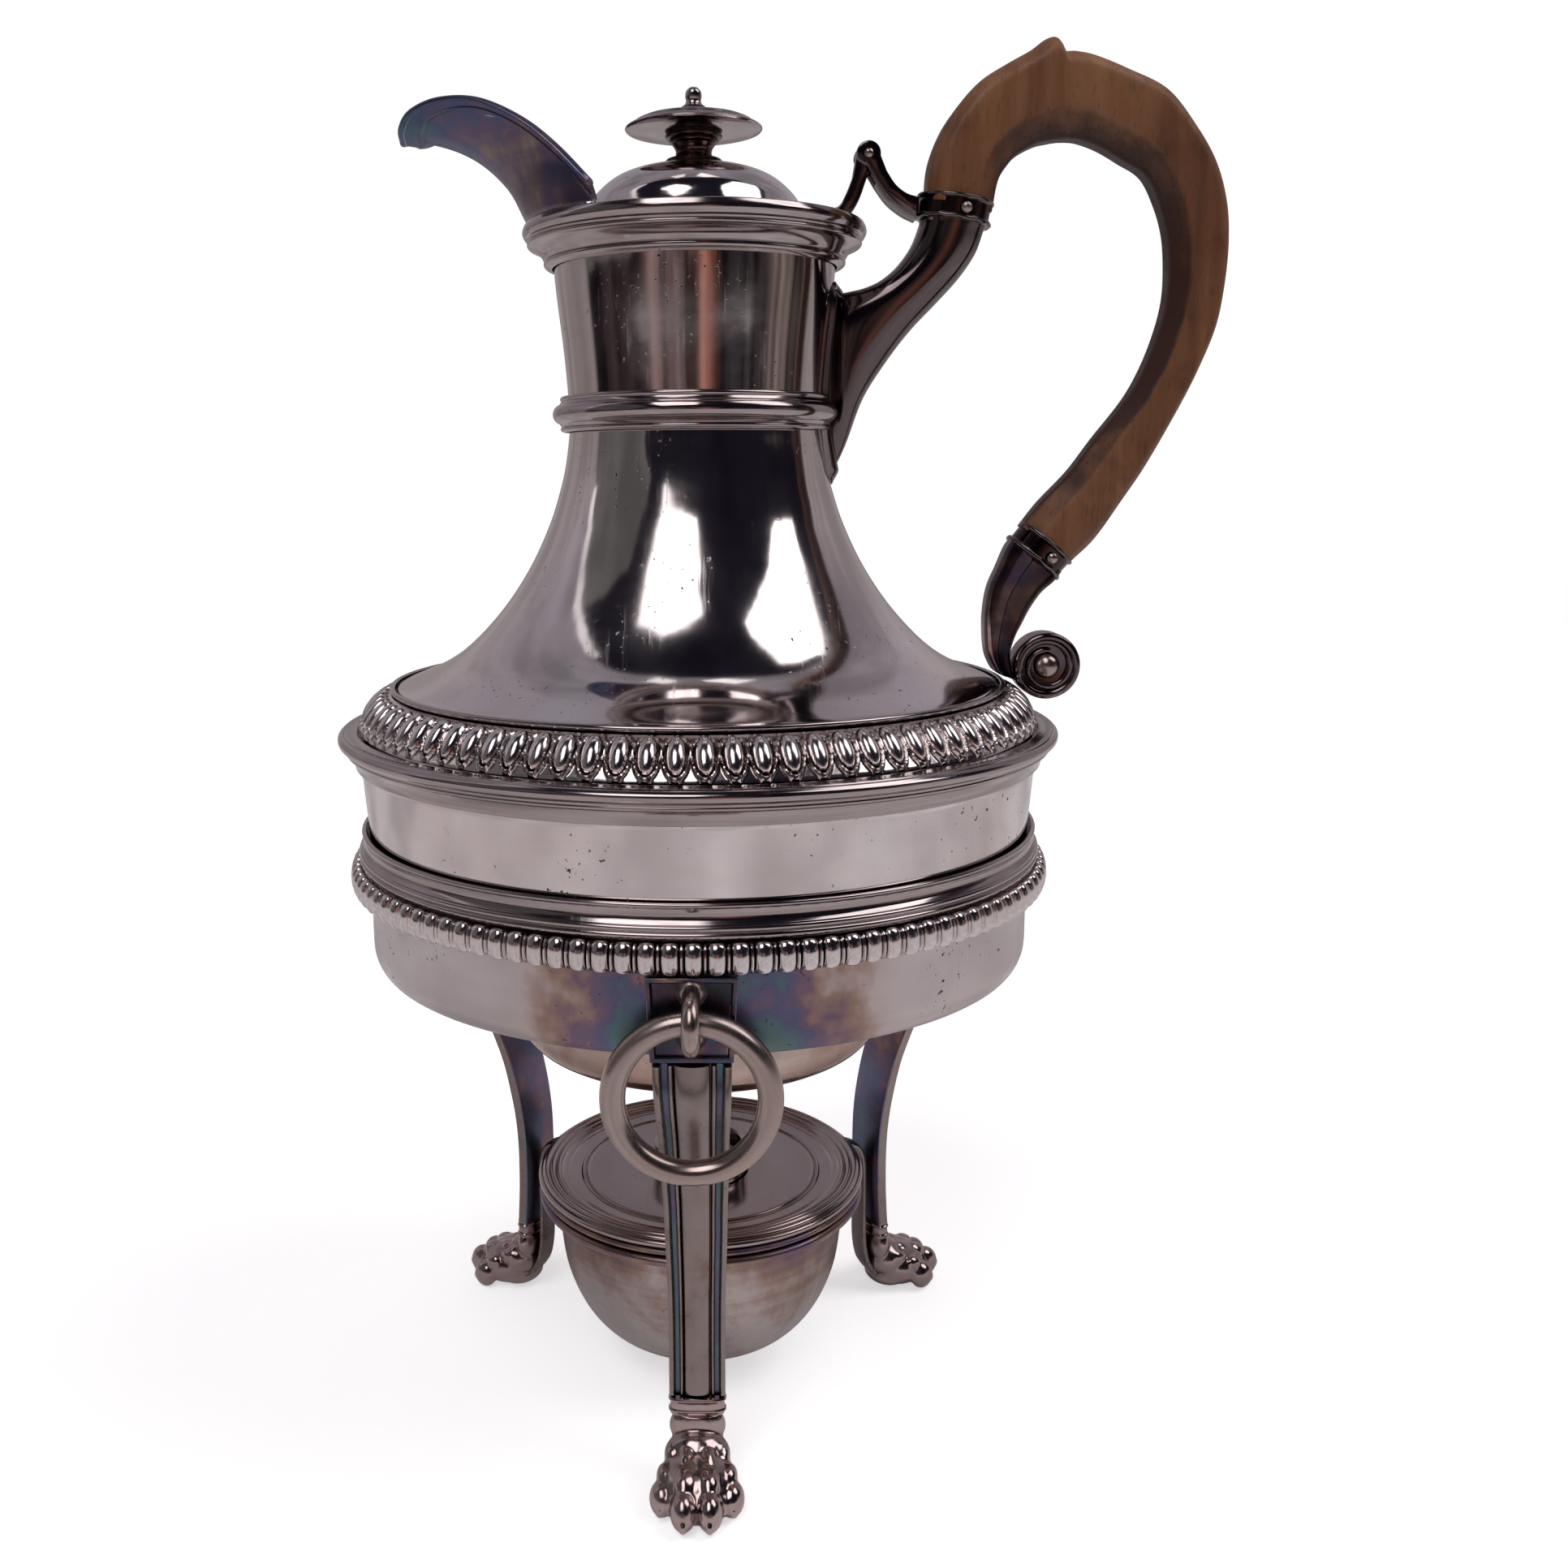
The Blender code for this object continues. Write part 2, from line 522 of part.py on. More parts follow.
def build_lid(lid_frame):
    """The domed lid with its finial, carried on the hinge axis."""
    on_axis = frame_empty("lid_axis", -HINGE_X, 0, -HINGE_Z)
    on_axis.parent = lid_frame
    lid = turned("lid", LID, on_axis, steps=LATHE_STEPS)
    cut(lid, as_cutter(box("pouring_gap", (-40, -40, 250), (-25.4, 40, 268), on_axis)))
    turned("finial_stem", FINIAL_STEM, on_axis, steps=24)
    turned("finial_disc", FINIAL_DISC, on_axis, steps=LATHE_STEPS)
    turned("finial_tip", FINIAL_TIP, on_axis, steps=16)


def build_stand_rings(parent):
    """The ring that holds the pot, with its gadrooned band and the ring for the burner."""
    turned("stand_moulding", STAND_MOULDING, parent, steps=RING_STEPS)
    turned("gadroon_band", GADROON_BAND, parent, steps=RING_STEPS)
    turned("apron", APRON, parent, steps=RING_STEPS)
    turned("pot_rest", POT_REST, parent, steps=RING_STEPS)
    turned("lamp_ring", LAMP_RING, parent, steps=LATHE_STEPS)


def build_leg(side, azimuth, parent):
    """One leg with its head plate, paw foot, strap to the burner ring, eye and drop ring."""
    leg_frame = frame_empty("leg_frame_" + side, 0, 0, 0, azimuth)
    leg_frame.parent = parent
    plate = []
    for x, frame, inset in ((74.7, 8.6, 0.0), (76.9, 8.6, 0.0)):
        low, high = frame - 0.9, frame
        plate.append([(x, -low, 104.2), (x, low, 104.2), (x, high, 120.6), (x, -high, 120.6)])
    loft("head_plate_" + side, plate, leg_frame)

    def leg_section(i):
        return [(u * LEG_PATH[i][2], v) for u, v in LEG_SECTION]

    along_path("leg_" + side, LEG_PATH, leg_section, leg_frame)

    def paw_section(i):
        return [(v, u) for u, v in rounded(PAW_PATH[i][2], PAW_PATH[i][3], 12, 2.4)]

    paw = along_path("paw_" + side, PAW_PATH, paw_section, leg_frame)
    for vertex in paw.data.vertices:
        vertex.co.z = max(vertex.co.z, 0.0)

    def strap_section(_):
        return [(-2.7, -0.8), (2.7, -0.8), (2.7, 0.8), (-2.7, 0.8)]

    along_path("strap_" + side, STRAP_PATH, strap_section, leg_frame)

    eye_path = [(77.3, 117.6), (80.0, 117.6), (83.2, 117.0), (85.0, 115.3), (85.5, 113.3)]
    eye_path += [(85.0, 111.4), (83.2, 109.7), (80.0, 109.1), (77.3, 109.1)]

    def eye_section(_):
        return [(v, u) for u, v in rounded(EYE_WIRE, EYE_WIRE, 8, 2.0)]

    along_path("ring_eye_" + side, eye_path, eye_section, leg_frame)

    ring_frame = frame_empty("ring_axis_" + side, RING_HANG_R, 0, RING_HANG_Z)
    ring_frame.parent = leg_frame
    profile = circle_profile(RING_R, 0.0, RING_WIRE, 8)
    ring = turned("drop_ring_" + side, profile, ring_frame, steps=LATHE_STEPS)
    ring.location = (0, 0, -RING_R * MM)
    ring.rotation_euler = (0, math.radians(90), 0)


def build_burner(parent):
    """The spirit burner: bowl, lid, wick tube and wick."""
    turned("burner_bowl", BURNER_BOWL, parent, steps=LATHE_STEPS)
    turned("burner_lid", BURNER_LID, parent, steps=LATHE_STEPS)
    turned("wick_tube", WICK_TUBE, parent, steps=24)
    turned("wick", WICK, parent, cotton, steps=20)


clear_scene()
PARTS = collection("silver_coffee_pot")
CUTTERS = collection("cutters", hidden=True)
SET = frame_empty("pot_axis", AXIS_X, AXIS_Y, 0)
LID_FRAME = frame_empty("lid_hinge_axis", HINGE_X, 0, HINGE_Z)
LID_FRAME.parent = SET

build_pot_body(SET)
build_spout(SET)
build_handle(SET)
build_hinge(SET, LID_FRAME)
build_lid(LID_FRAME)
build_stand_rings(SET)
for side_name, side_azimuth in LEG_AZIMUTHS.items():
    build_leg(side_name, side_azimuth, SET)
build_burner(SET)
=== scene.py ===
"""A silver coffee pot on its three-legged warming stand: fine surfaces, finishes, light and camera.

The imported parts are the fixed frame, and every piece here stands for parts of it. Sizes are in
millimetres from the pot's axis and the table top, and lie in the frame once they are scaled by MM.
"""

import json
import math

import bmesh
import bpy
import numpy as np
from mathutils import Euler, Matrix, Vector


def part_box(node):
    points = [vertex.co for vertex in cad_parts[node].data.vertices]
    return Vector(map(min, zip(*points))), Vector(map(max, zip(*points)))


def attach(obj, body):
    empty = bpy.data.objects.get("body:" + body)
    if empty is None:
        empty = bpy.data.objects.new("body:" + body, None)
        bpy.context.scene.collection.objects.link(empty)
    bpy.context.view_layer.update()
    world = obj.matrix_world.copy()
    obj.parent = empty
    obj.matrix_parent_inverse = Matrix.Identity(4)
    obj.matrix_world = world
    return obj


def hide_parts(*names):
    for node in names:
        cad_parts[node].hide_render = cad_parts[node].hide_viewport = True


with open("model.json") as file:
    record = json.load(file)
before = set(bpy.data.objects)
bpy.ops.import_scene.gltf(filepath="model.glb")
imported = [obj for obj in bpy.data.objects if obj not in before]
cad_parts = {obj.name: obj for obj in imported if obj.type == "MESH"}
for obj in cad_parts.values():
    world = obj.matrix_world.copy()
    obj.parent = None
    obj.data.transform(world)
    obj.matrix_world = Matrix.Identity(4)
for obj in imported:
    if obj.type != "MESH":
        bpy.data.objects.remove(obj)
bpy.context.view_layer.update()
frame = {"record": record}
RECORD = frame["record"]

MM = 0.001
TAU = math.tau
LEG_AZIMUTHS = {"front": -91.2, "left": 148.8, "right": 28.8}
BODY_OF = {node: body for body, nodes in RECORD["behaviour"]["bodies"].items() for node in nodes}

DRUM_LOW, DRUM_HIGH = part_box("pot_drum")
AXIS = Vector(((DRUM_LOW.x + DRUM_HIGH.x) / 2, (DRUM_LOW.y + DRUM_HIGH.y) / 2, 0.0))

ROUND_STEPS = 216
SHARP_ANGLE = 38.0

HINGE = (37.0, 277.0)
TOP_PIN, LOW_PIN = (57.2, 265.2), (78.0, 191.8)
TOP_FERRULE, LOW_FERRULE = (55.8, 265.6, 8.5, 7.95), (76.6, 193.1, 40.0, 7.1)
VOLUTE = (78.6, 167.5)
VOLUTE_R = 7.7
RING_R, RING_WIRE, RING_HANG_R, RING_HANG_Z = 14.4, 2.4, 80.5, 113.35
EGG_UNITS, GADROON_UNITS = 87, 113


# Outlines and surfaces


def fluent(points, steps=6):
    """A smooth line through the points."""
    p = np.array(points, float)
    p = np.vstack([2 * p[0] - p[1], p, 2 * p[-1] - p[-2]])
    t = np.linspace(0, 1, steps, endpoint=False)[:, None]
    line = []
    for a, b, c, d in zip(p, p[1:], p[2:], p[3:]):
        bend = (c - a) * t + (2 * a - 5 * b + 4 * c - d) * t**2 + (3 * b - a - 3 * c + d) * t**3
        line.append(b + 0.5 * bend)
    return np.vstack([*line, p[-2:-1]])


def arc(centre, radius, start, end, count=9):
    """Points on an arc, angles in degrees."""
    a = np.radians(np.linspace(start, end, count))
    return np.column_stack([centre[0] + radius * np.cos(a), centre[1] + radius * np.sin(a)])


def joined(*runs):
    """One outline from several runs of points."""
    return np.vstack([np.array(run, float).reshape(-1, 2) for run in runs])


def softened(outline, radius, closed=True, sharp=14.0, count=4):
    """Rounds the corners of an outline that turn by more than the sharp angle."""
    points = np.array(outline, float)
    last = len(points) - 1
    made = []
    for i, here in enumerate(points):
        if not closed and i in (0, last):
            made.append(here)
            continue
        back, on = points[i - 1] - here, points[(i + 1) % (last + 1)] - here
        back_length, on_length = np.linalg.norm(back), np.linalg.norm(on)
        if min(back_length, on_length) < 1e-6:
            continue
        level = np.clip(back @ on / back_length / on_length, -1, 1)
        if 180 - math.degrees(math.acos(level)) < sharp:
            made.append(here)
            continue
        reach = min(radius, 0.45 * back_length, 0.45 * on_length)
        start, end = here + back / back_length * reach, here + on / on_length * reach
        for t in np.linspace(0, 1, count + 1):
            made.append((1 - t) ** 2 * start + 2 * t * (1 - t) * here + t * t * end)
    return np.array(made)


def step_up(low, high, value):
    """A smooth step from 0 to 1."""
    t = np.clip((value - low) / (high - low), 0, 1)
    return t * t * (3 - 2 * t)


def dome(distance):
    """A round hump that is 1 in the middle and 0 from distance 1."""
    return np.sqrt(np.clip(1 - distance**2, 0, None))


def turned_grid(outline, steps=ROUND_STEPS, start=0.0, end=360.0):
    """The points of an outline turned about Z, all round or between two angles."""
    whole = end - start >= 360
    angles = np.radians(np.linspace(start, end, steps, endpoint=not whole))
    r, z = np.array(outline, float).T
    return np.stack([np.outer(np.cos(angles), r), np.outer(np.sin(angles), r), np.tile(z, (steps, 1))], -1)


def about_z(grid, azimuth):
    """Turns points about the pot's axis."""
    c, s = math.cos(math.radians(azimuth)), math.sin(math.radians(azimuth))
    x, y, z = np.moveaxis(grid, -1, 0)
    return np.stack([x * c - y * s, x * s + y * c, z], -1)


def finished_mesh(mesh, merge=2e-6):
    """Merges doubled points, faces the surface out and shades it smooth."""
    shape = bmesh.new()
    shape.from_mesh(mesh)
    bmesh.ops.remove_doubles(shape, verts=shape.verts, dist=merge)
    bmesh.ops.recalc_face_normals(shape, faces=shape.faces)
    shape.to_mesh(mesh)
    shape.free()
    mesh.shade_smooth()
    mesh.set_sharp_from_angle(angle=math.radians(SHARP_ANGLE))
    return mesh


def grid_mesh(name, grid, wrap_rows=False, wrap_columns=False, caps=False):
    """A mesh over rows and columns of points."""
    rows, columns = grid.shape[:2]
    index = np.arange(rows * columns).reshape(rows, columns)
    ends = [index[0].tolist(), index[-1][::-1].tolist()]
    if wrap_rows:
        index = np.vstack([index, index[:1]])
    if wrap_columns:
        index = np.hstack([index, index[:, :1]])
    corners = [index[:-1, :-1], index[:-1, 1:], index[1:, 1:], index[1:, :-1]]
    faces = np.stack(corners, -1).reshape(-1, 4).tolist()
    mesh = bpy.data.meshes.new(name)
    points = grid.reshape(-1, 3) * MM + np.array(AXIS)
    mesh.from_pydata(points.tolist(), [], faces + (ends if caps else []))
    return finished_mesh(mesh)


def place(name, mesh, finish, *nodes, rides_with=None):
    """Shows a mesh as a piece on its body, in place of the nodes that it stands for."""
    piece = bpy.data.objects.new(name, mesh)
    bpy.context.scene.collection.objects.link(piece)
    mesh.materials.append(finish)
    node = nodes[0] if nodes else rides_with
    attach(piece, BODY_OF[node])
    if nodes:
        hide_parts(*nodes)
    return piece


def closed(name, grid, finish, *nodes, rides_with=None, **closing):
    """A piece over rows and columns of points, where closing is what grid_mesh is told."""
    return place(name, grid_mesh(name, grid, **closing), finish, *nodes, rides_with=rides_with)


def bar(name, grid, finish, *nodes, rides_with=None):
    """A solid piece whose rows each run once round it."""
    return closed(name, grid, finish, *nodes, rides_with=rides_with, wrap_columns=True, caps=True)


def laid_across(grid, x, z, way=-1.0):
    """Turns what stands on Z to lie along Y, with its middle at x and z."""
    return np.stack([grid[..., 0] + x, way * grid[..., 2], grid[..., 1] + z], -1)


def turned(name, outline, finish, *nodes, steps=ROUND_STEPS, span=(0.0, 360.0), rides_with=None):
    """A piece turned about the pot's axis."""
    whole = span[1] - span[0] >= 360
    on_axis = abs(outline[0][0]) < 1e-6
    grid = turned_grid(outline, steps, *span)
    closing = {"wrap_rows": whole, "wrap_columns": not on_axis, "caps": not whole}
    return closed(name, grid, finish, *nodes, rides_with=rides_with, **closing)


def swept(path, section):
    """A bar along a path in the XZ plane, where section(i) gives its (across, out) points."""
    path = np.array(path, float)
    along = np.gradient(path[:, :2], axis=0)
    along /= np.linalg.norm(along, axis=1)[:, None]
    rows = []
    for i, (here, way) in enumerate(zip(path, along)):
        across, out = np.array(section(i), float).T
        rows.append(np.column_stack([here[0] - way[1] * out, across, here[1] + way[0] * out]))
    return np.array(rows)


def wire(path, radius, sides=20):
    """A round wire along a path in the XZ plane, with one radius or one for each point."""
    sizes = np.broadcast_to(radius, len(path))
    circle = arc((0, 0), 1.0, 0, 360 * (1 - 1 / sides), sides)
    return swept(path, lambda i: circle * sizes[i])


def between_edges(sections, outline, steps=6):
    """A bar in the XZ plane, drawn by its two edges. Sections are (edge, edge, half width) and
    the outline's points are (towards the first edge, across), both from -1 to 1."""
    table = fluent([[*one, *two, half] for one, two, half in sections], steps)
    rows = []
    for x1, z1, x2, z2, half in table:
        u, v = outline.T
        x = (x1 + x2) / 2 + (x1 - x2) / 2 * u
        z = (z1 + z2) / 2 + (z1 - z2) / 2 * u
        rows.append(np.column_stack([x, v * half, z]))
    return np.array(rows)


def oval(power=2.0, sides=40):
    """A closed outline from a circle at power 2 to a soft square above it."""
    a = TAU * (np.arange(sides) + 0.5) / sides
    c, s = np.cos(a), np.sin(a)
    reach = (abs(c) ** power + abs(s) ** power) ** (-1.0 / power)
    return np.column_stack([reach * c, reach * s])



def relief_band(name, face, back, units, relief, finish, node, columns_each=16):
    """A turned band whose face carries a repeated ornament. The face and back are outlines that
    run down the face and back up behind it, and relief(u, v) is the height over the face."""
    face = np.array(face, float)
    along = np.gradient(face, axis=0)
    normal = np.column_stack([-along[:, 1], along[:, 0]]) / np.linalg.norm(along, axis=1)[:, None]
    run = np.concatenate([[0], np.cumsum(np.linalg.norm(np.diff(face, axis=0), axis=1))])
    count = units * columns_each
    u = (np.arange(count) + 0.5) / columns_each % 1 - 0.5
    height = relief(u[:, None], (run / run[-1])[None, :])
    r = face[:, 0] + normal[:, 0] * height
    z = face[:, 1] + normal[:, 1] * height
    r = np.hstack([r, np.tile(np.array(back)[:, 0], (count, 1))])
    z = np.hstack([z, np.tile(np.array(back)[:, 1], (count, 1))])
    angles = (TAU * np.arange(count) / count)[:, None]
    grid = np.stack([np.cos(angles) * r, np.sin(angles) * r, z], -1)
    return place(name, grid_mesh(name, grid, True, True), finish, node)


# Finishes


def add(tree, kind, inputs=None, **settings):
    """A shader node with its settings, and its inputs linked or set."""
    made = tree.nodes.new("ShaderNode" + kind)
    for key, value in settings.items():
        setattr(made, key, value)
    for key, value in (inputs or {}).items():
        if isinstance(value, bpy.types.NodeSocket):
            tree.links.new(value, made.inputs[key])
        else:
            made.inputs[key].default_value = value
    return made


def maths(tree, operation, one, two=0.0, three=0.0):
    """The result of a Math node."""
    made = add(tree, "Math", {0: one, 1: two, 2: three}, operation=operation)
    return made.outputs[0]


def ranged(tree, value, low, high, to_low=0.0, to_high=1.0):
    """A value moved smoothly from one range to another."""
    inputs = {"Value": value, "From Min": low, "From Max": high, "To Min": to_low, "To Max": to_high}
    return add(tree, "MapRange", inputs, interpolation_type="SMOOTHSTEP").outputs["Result"]


def noise(tree, place_in, scale, detail=3.0, roughness=0.5, distortion=0.0):
    """The value of a noise texture."""
    inputs = {"Vector": place_in, "Scale": scale, "Detail": detail, "Roughness": roughness}
    inputs["Distortion"] = distortion
    return add(tree, "TexNoise", inputs).outputs["Fac"]


def stretched(tree, place_in, scale, turn=(0.0, 0.0, 0.0)):
    """Coordinates turned and scaled by axis."""
    turn = tuple(math.radians(t) for t in turn)
    return add(tree, "Mapping", {"Vector": place_in, "Rotation": turn, "Scale": scale}).outputs["Vector"]


def ramp(tree, value, stops):
    """Colours along a value."""
    made = add(tree, "ValToRGB", {"Fac": value})
    elements = made.color_ramp.elements
    while len(elements) < len(stops):
        elements.new(0.5)
    for element, (position, colour) in zip(elements, stops):
        element.position = position
        element.color = (*colour, 1.0)
    return made.outputs["Color"]


def mixed(tree, share, one, two, blend="MIX"):
    """Two colours mixed by a share."""
    made = add(tree, "Mix", data_type="RGBA", blend_type=blend)
    for key, value in ((0, share), (6, one), (7, two)):
        if isinstance(value, bpy.types.NodeSocket):
            tree.links.new(value, made.inputs[key])
        else:
            made.inputs[key].default_value = value if key == 0 else (*value, 1.0)
    return made.outputs[2]


def node_group(name, inputs, outputs):
    """An empty shader group with named inputs and outputs."""
    tree = bpy.data.node_groups.new(name, "ShaderNodeTree")
    for label, value in inputs.items():
        kind = "NodeSocketColor" if isinstance(value, tuple) else "NodeSocketFloat"
        socket = tree.interface.new_socket(name=label, in_out="INPUT", socket_type=kind)
        socket.default_value = (*value, 1.0) if isinstance(value, tuple) else value
    for label in outputs:
        kind = "NodeSocketColor" if label == "Colour" else "NodeSocketFloat"
        tree.interface.new_socket(name=label, in_out="OUTPUT", socket_type=kind)
    return tree, tree.nodes.new("NodeGroupInput").outputs, tree.nodes.new("NodeGroupOutput").inputs


def tarnish_group():
    """Silver that dulls through straw, brown and purple to blue and blue-green as its film thickens."""
    inputs = {
        "Clean": (0.8, 0.78, 0.79),
        "Bloom": 0.1,
        "Spread": 0.2,
        "Patch Size": 30.0,
        "Recess Dirt": 0.5,
    }
    tree, given, result = node_group("tarnish_film", inputs, ["Colour", "Film"])
    here = add(tree, "TexCoord").outputs["Object"]
    broad = noise(tree, here, given["Patch Size"], 4.0, 0.55, 0.6)
    fine = noise(tree, stretched(tree, here, (4.0, 4.0, 2.4)), given["Patch Size"], 5.0, 0.62, 0.2)
    wiped = noise(tree, stretched(tree, here, (14.0, 14.0, 420.0)), 1.0, 3.0, 0.6)
    cloud = maths(tree, "MULTIPLY_ADD", fine, 0.27, maths(tree, "MULTIPLY", wiped, 0.18))
    cloud = maths(tree, "MULTIPLY_ADD", broad, 0.55, cloud)
    cloud = maths(tree, "MULTIPLY", maths(tree, "SUBTRACT", cloud, 0.5), 4.5)
    film = maths(tree, "MULTIPLY_ADD", cloud, given["Spread"], given["Bloom"])
    edge = add(tree, "NewGeometry").outputs["Pointiness"]
    recess = ranged(tree, edge, 0.50, 0.43)
    film = maths(tree, "MULTIPLY_ADD", maths(tree, "MULTIPLY", recess, given["Recess Dirt"]), 0.35, film)
    film = maths(tree, "MINIMUM", maths(tree, "MAXIMUM", film, 0.0), 1.0)
    stops = [
        (0.0, (1.0, 0.99, 1.0)), (0.20, (0.92, 0.86, 0.83)), (0.36, (0.60, 0.44, 0.36)),
        (0.50, (0.36, 0.26, 0.36)), (0.64, (0.22, 0.25, 0.42)), (0.80, (0.20, 0.36, 0.40)),
        (1.0, (0.24, 0.36, 0.33)),
    ]
    tinted = mixed(tree, 1.0, ramp(tree, film, stops), given["Clean"], "MULTIPLY")
    dark = maths(tree, "MULTIPLY", recess, given["Recess Dirt"])
    dirty = mixed(tree, dark, tinted, (0.05, 0.035, 0.035))
    worn = ranged(tree, edge, 0.53, 0.62, 0.0, 0.35)
    bright = mixed(tree, worn, dirty, (0.74, 0.70, 0.70))
    tree.links.new(bright, result["Colour"])
    tree.links.new(film, result["Film"])
    return tree


def polish_group():
    """The surface of hand-polished silver: fine scratches, swirls, small pits and a slight waviness."""
    inputs = {
        "Base Roughness": 0.12,
        "Satin": 0.1,
        "Scratches": 1.0,
        "Waves": 1.0,
        "Pits": 0.0,
        "Film": 0.0,
    }
    tree, given, result = node_group("hand_polish", inputs, ["Roughness", "Height", "Pit"])
    here = add(tree, "TexCoord").outputs["Object"]
    marks = None
    for turn, size in (((20, 35, 0), 900.0), ((-35, 10, 50), 1300.0), ((60, -20, 25), 700.0)):
        thin = noise(tree, stretched(tree, here, (size, size * 0.06, size * 0.06), turn), 1.0, 2.0, 0.6)
        line = ranged(tree, thin, 0.62, 0.74)
        marks = line if marks is None else maths(tree, "MAXIMUM", marks, line)
    faded = ranged(tree, noise(tree, here, 55.0, 2.0), 0.42, 0.62)
    marks = maths(tree, "MULTIPLY", marks, faded)
    haze = ranged(tree, noise(tree, here, 38.0, 4.0, 0.6, 0.8), 0.35, 0.7)
    rough = maths(tree, "MULTIPLY_ADD", haze, given["Satin"], given["Base Roughness"])
    scored = maths(tree, "MULTIPLY", marks, given["Scratches"])
    rough = maths(tree, "MULTIPLY_ADD", scored, 0.10, rough)
    rough = maths(tree, "MULTIPLY_ADD", given["Film"], 0.10, rough)
    speck = noise(tree, here, 900.0, 2.0, 0.5)
    grouped = ranged(tree, noise(tree, here, 55.0, 2.0), 0.47, 0.64)
    pit = maths(tree, "MULTIPLY", ranged(tree, speck, 0.675, 0.72), grouped)
    pit = maths(tree, "MULTIPLY", pit, given["Pits"])
    wide = maths(tree, "MULTIPLY", noise(tree, here, 34.0, 1.0), 0.00016)
    small = maths(tree, "MULTIPLY", noise(tree, here, 190.0, 2.0), 0.000009)
    height = maths(tree, "MULTIPLY", maths(tree, "ADD", wide, small), given["Waves"])
    height = maths(tree, "MULTIPLY_ADD", scored, -0.0000016, height)
    height = maths(tree, "MULTIPLY_ADD", pit, -0.00003, height)
    tree.links.new(maths(tree, "MULTIPLY_ADD", pit, 0.35, rough), result["Roughness"])
    tree.links.new(height, result["Height"])
    tree.links.new(pit, result["Pit"])
    return tree


def leg_nearness(tree, here):
    """1 beside each of the three legs and 0 between them."""
    x, y, _ = add(tree, "SeparateXYZ", {"Vector": here}).outputs
    angle = maths(tree, "ARCTAN2", maths(tree, "SUBTRACT", y, AXIS.y), maths(tree, "SUBTRACT", x, AXIS.x))
    return maths(tree, "COSINE", maths(tree, "MULTIPLY", maths(tree, "ADD", angle, math.pi / 2), 3.0))


TARNISH, POLISH = tarnish_group(), polish_group()


def group_node(tree, group, values):
    """A group placed in a material with its own values."""
    made = add(tree, "Group", node_tree=group)
    for key, value in values.items():
        if isinstance(value, bpy.types.NodeSocket):
            tree.links.new(value, made.inputs[key])
        else:
            made.inputs[key].default_value = (*value, 1.0) if isinstance(value, tuple) else value
    return made.outputs


def silver(name, film, surface, stain_and_shade=None):
    """Silver with its tarnish and its polish. The last argument, a function of (tree, here), adds to the
    film: real stains on most finishes, and painted shade low on the raised body.
    """
    made = bpy.data.materials.new(name)
    made.use_nodes = True
    tree = made.node_tree
    shader = tree.nodes["Principled BSDF"]
    film = dict(film)
    if stain_and_shade:
        here = add(tree, "TexCoord").outputs["Object"]
        film["Bloom"] = maths(tree, "ADD", stain_and_shade(tree, here), film["Bloom"])
    coloured = group_node(tree, TARNISH, film)
    polished = group_node(tree, POLISH, {**surface, "Film": coloured["Film"]})
    colour = mixed(tree, polished["Pit"], coloured["Colour"], (0.05, 0.045, 0.05))
    tree.links.new(colour, shader.inputs["Base Color"])
    shader.inputs["Metallic"].default_value = 1.0
    tree.links.new(polished["Roughness"], shader.inputs["Roughness"])
    bump = add(tree, "Bump", {"Height": polished["Height"], "Strength": 1.0, "Distance": 1.0})
    tree.links.new(bump.outputs["Normal"], shader.inputs["Normal"])
    return made


def beside_legs(amount, low, high):
    """Tarnish that gathers beside the legs, added to the film."""
    def stain_and_shade(tree, here):
        near = ranged(tree, leg_nearness(tree, here), low, high)
        uneven = noise(tree, here, 90.0, 3.0, 0.6)
        return maths(tree, "MULTIPLY", maths(tree, "MULTIPLY", near, uneven), amount)
    return stain_and_shade


def higher_up(amount, low, high):
    """A film that deepens from one height towards another, in millimetres: real stains on the beak and
    burner, and painted shade low on the raised body.
    """
    def stain_and_shade(tree, here):
        z = add(tree, "SeparateXYZ", {"Vector": here}).outputs["Z"]
        return maths(tree, "MULTIPLY", ranged(tree, z, low * MM, high * MM), amount)
    return stain_and_shade


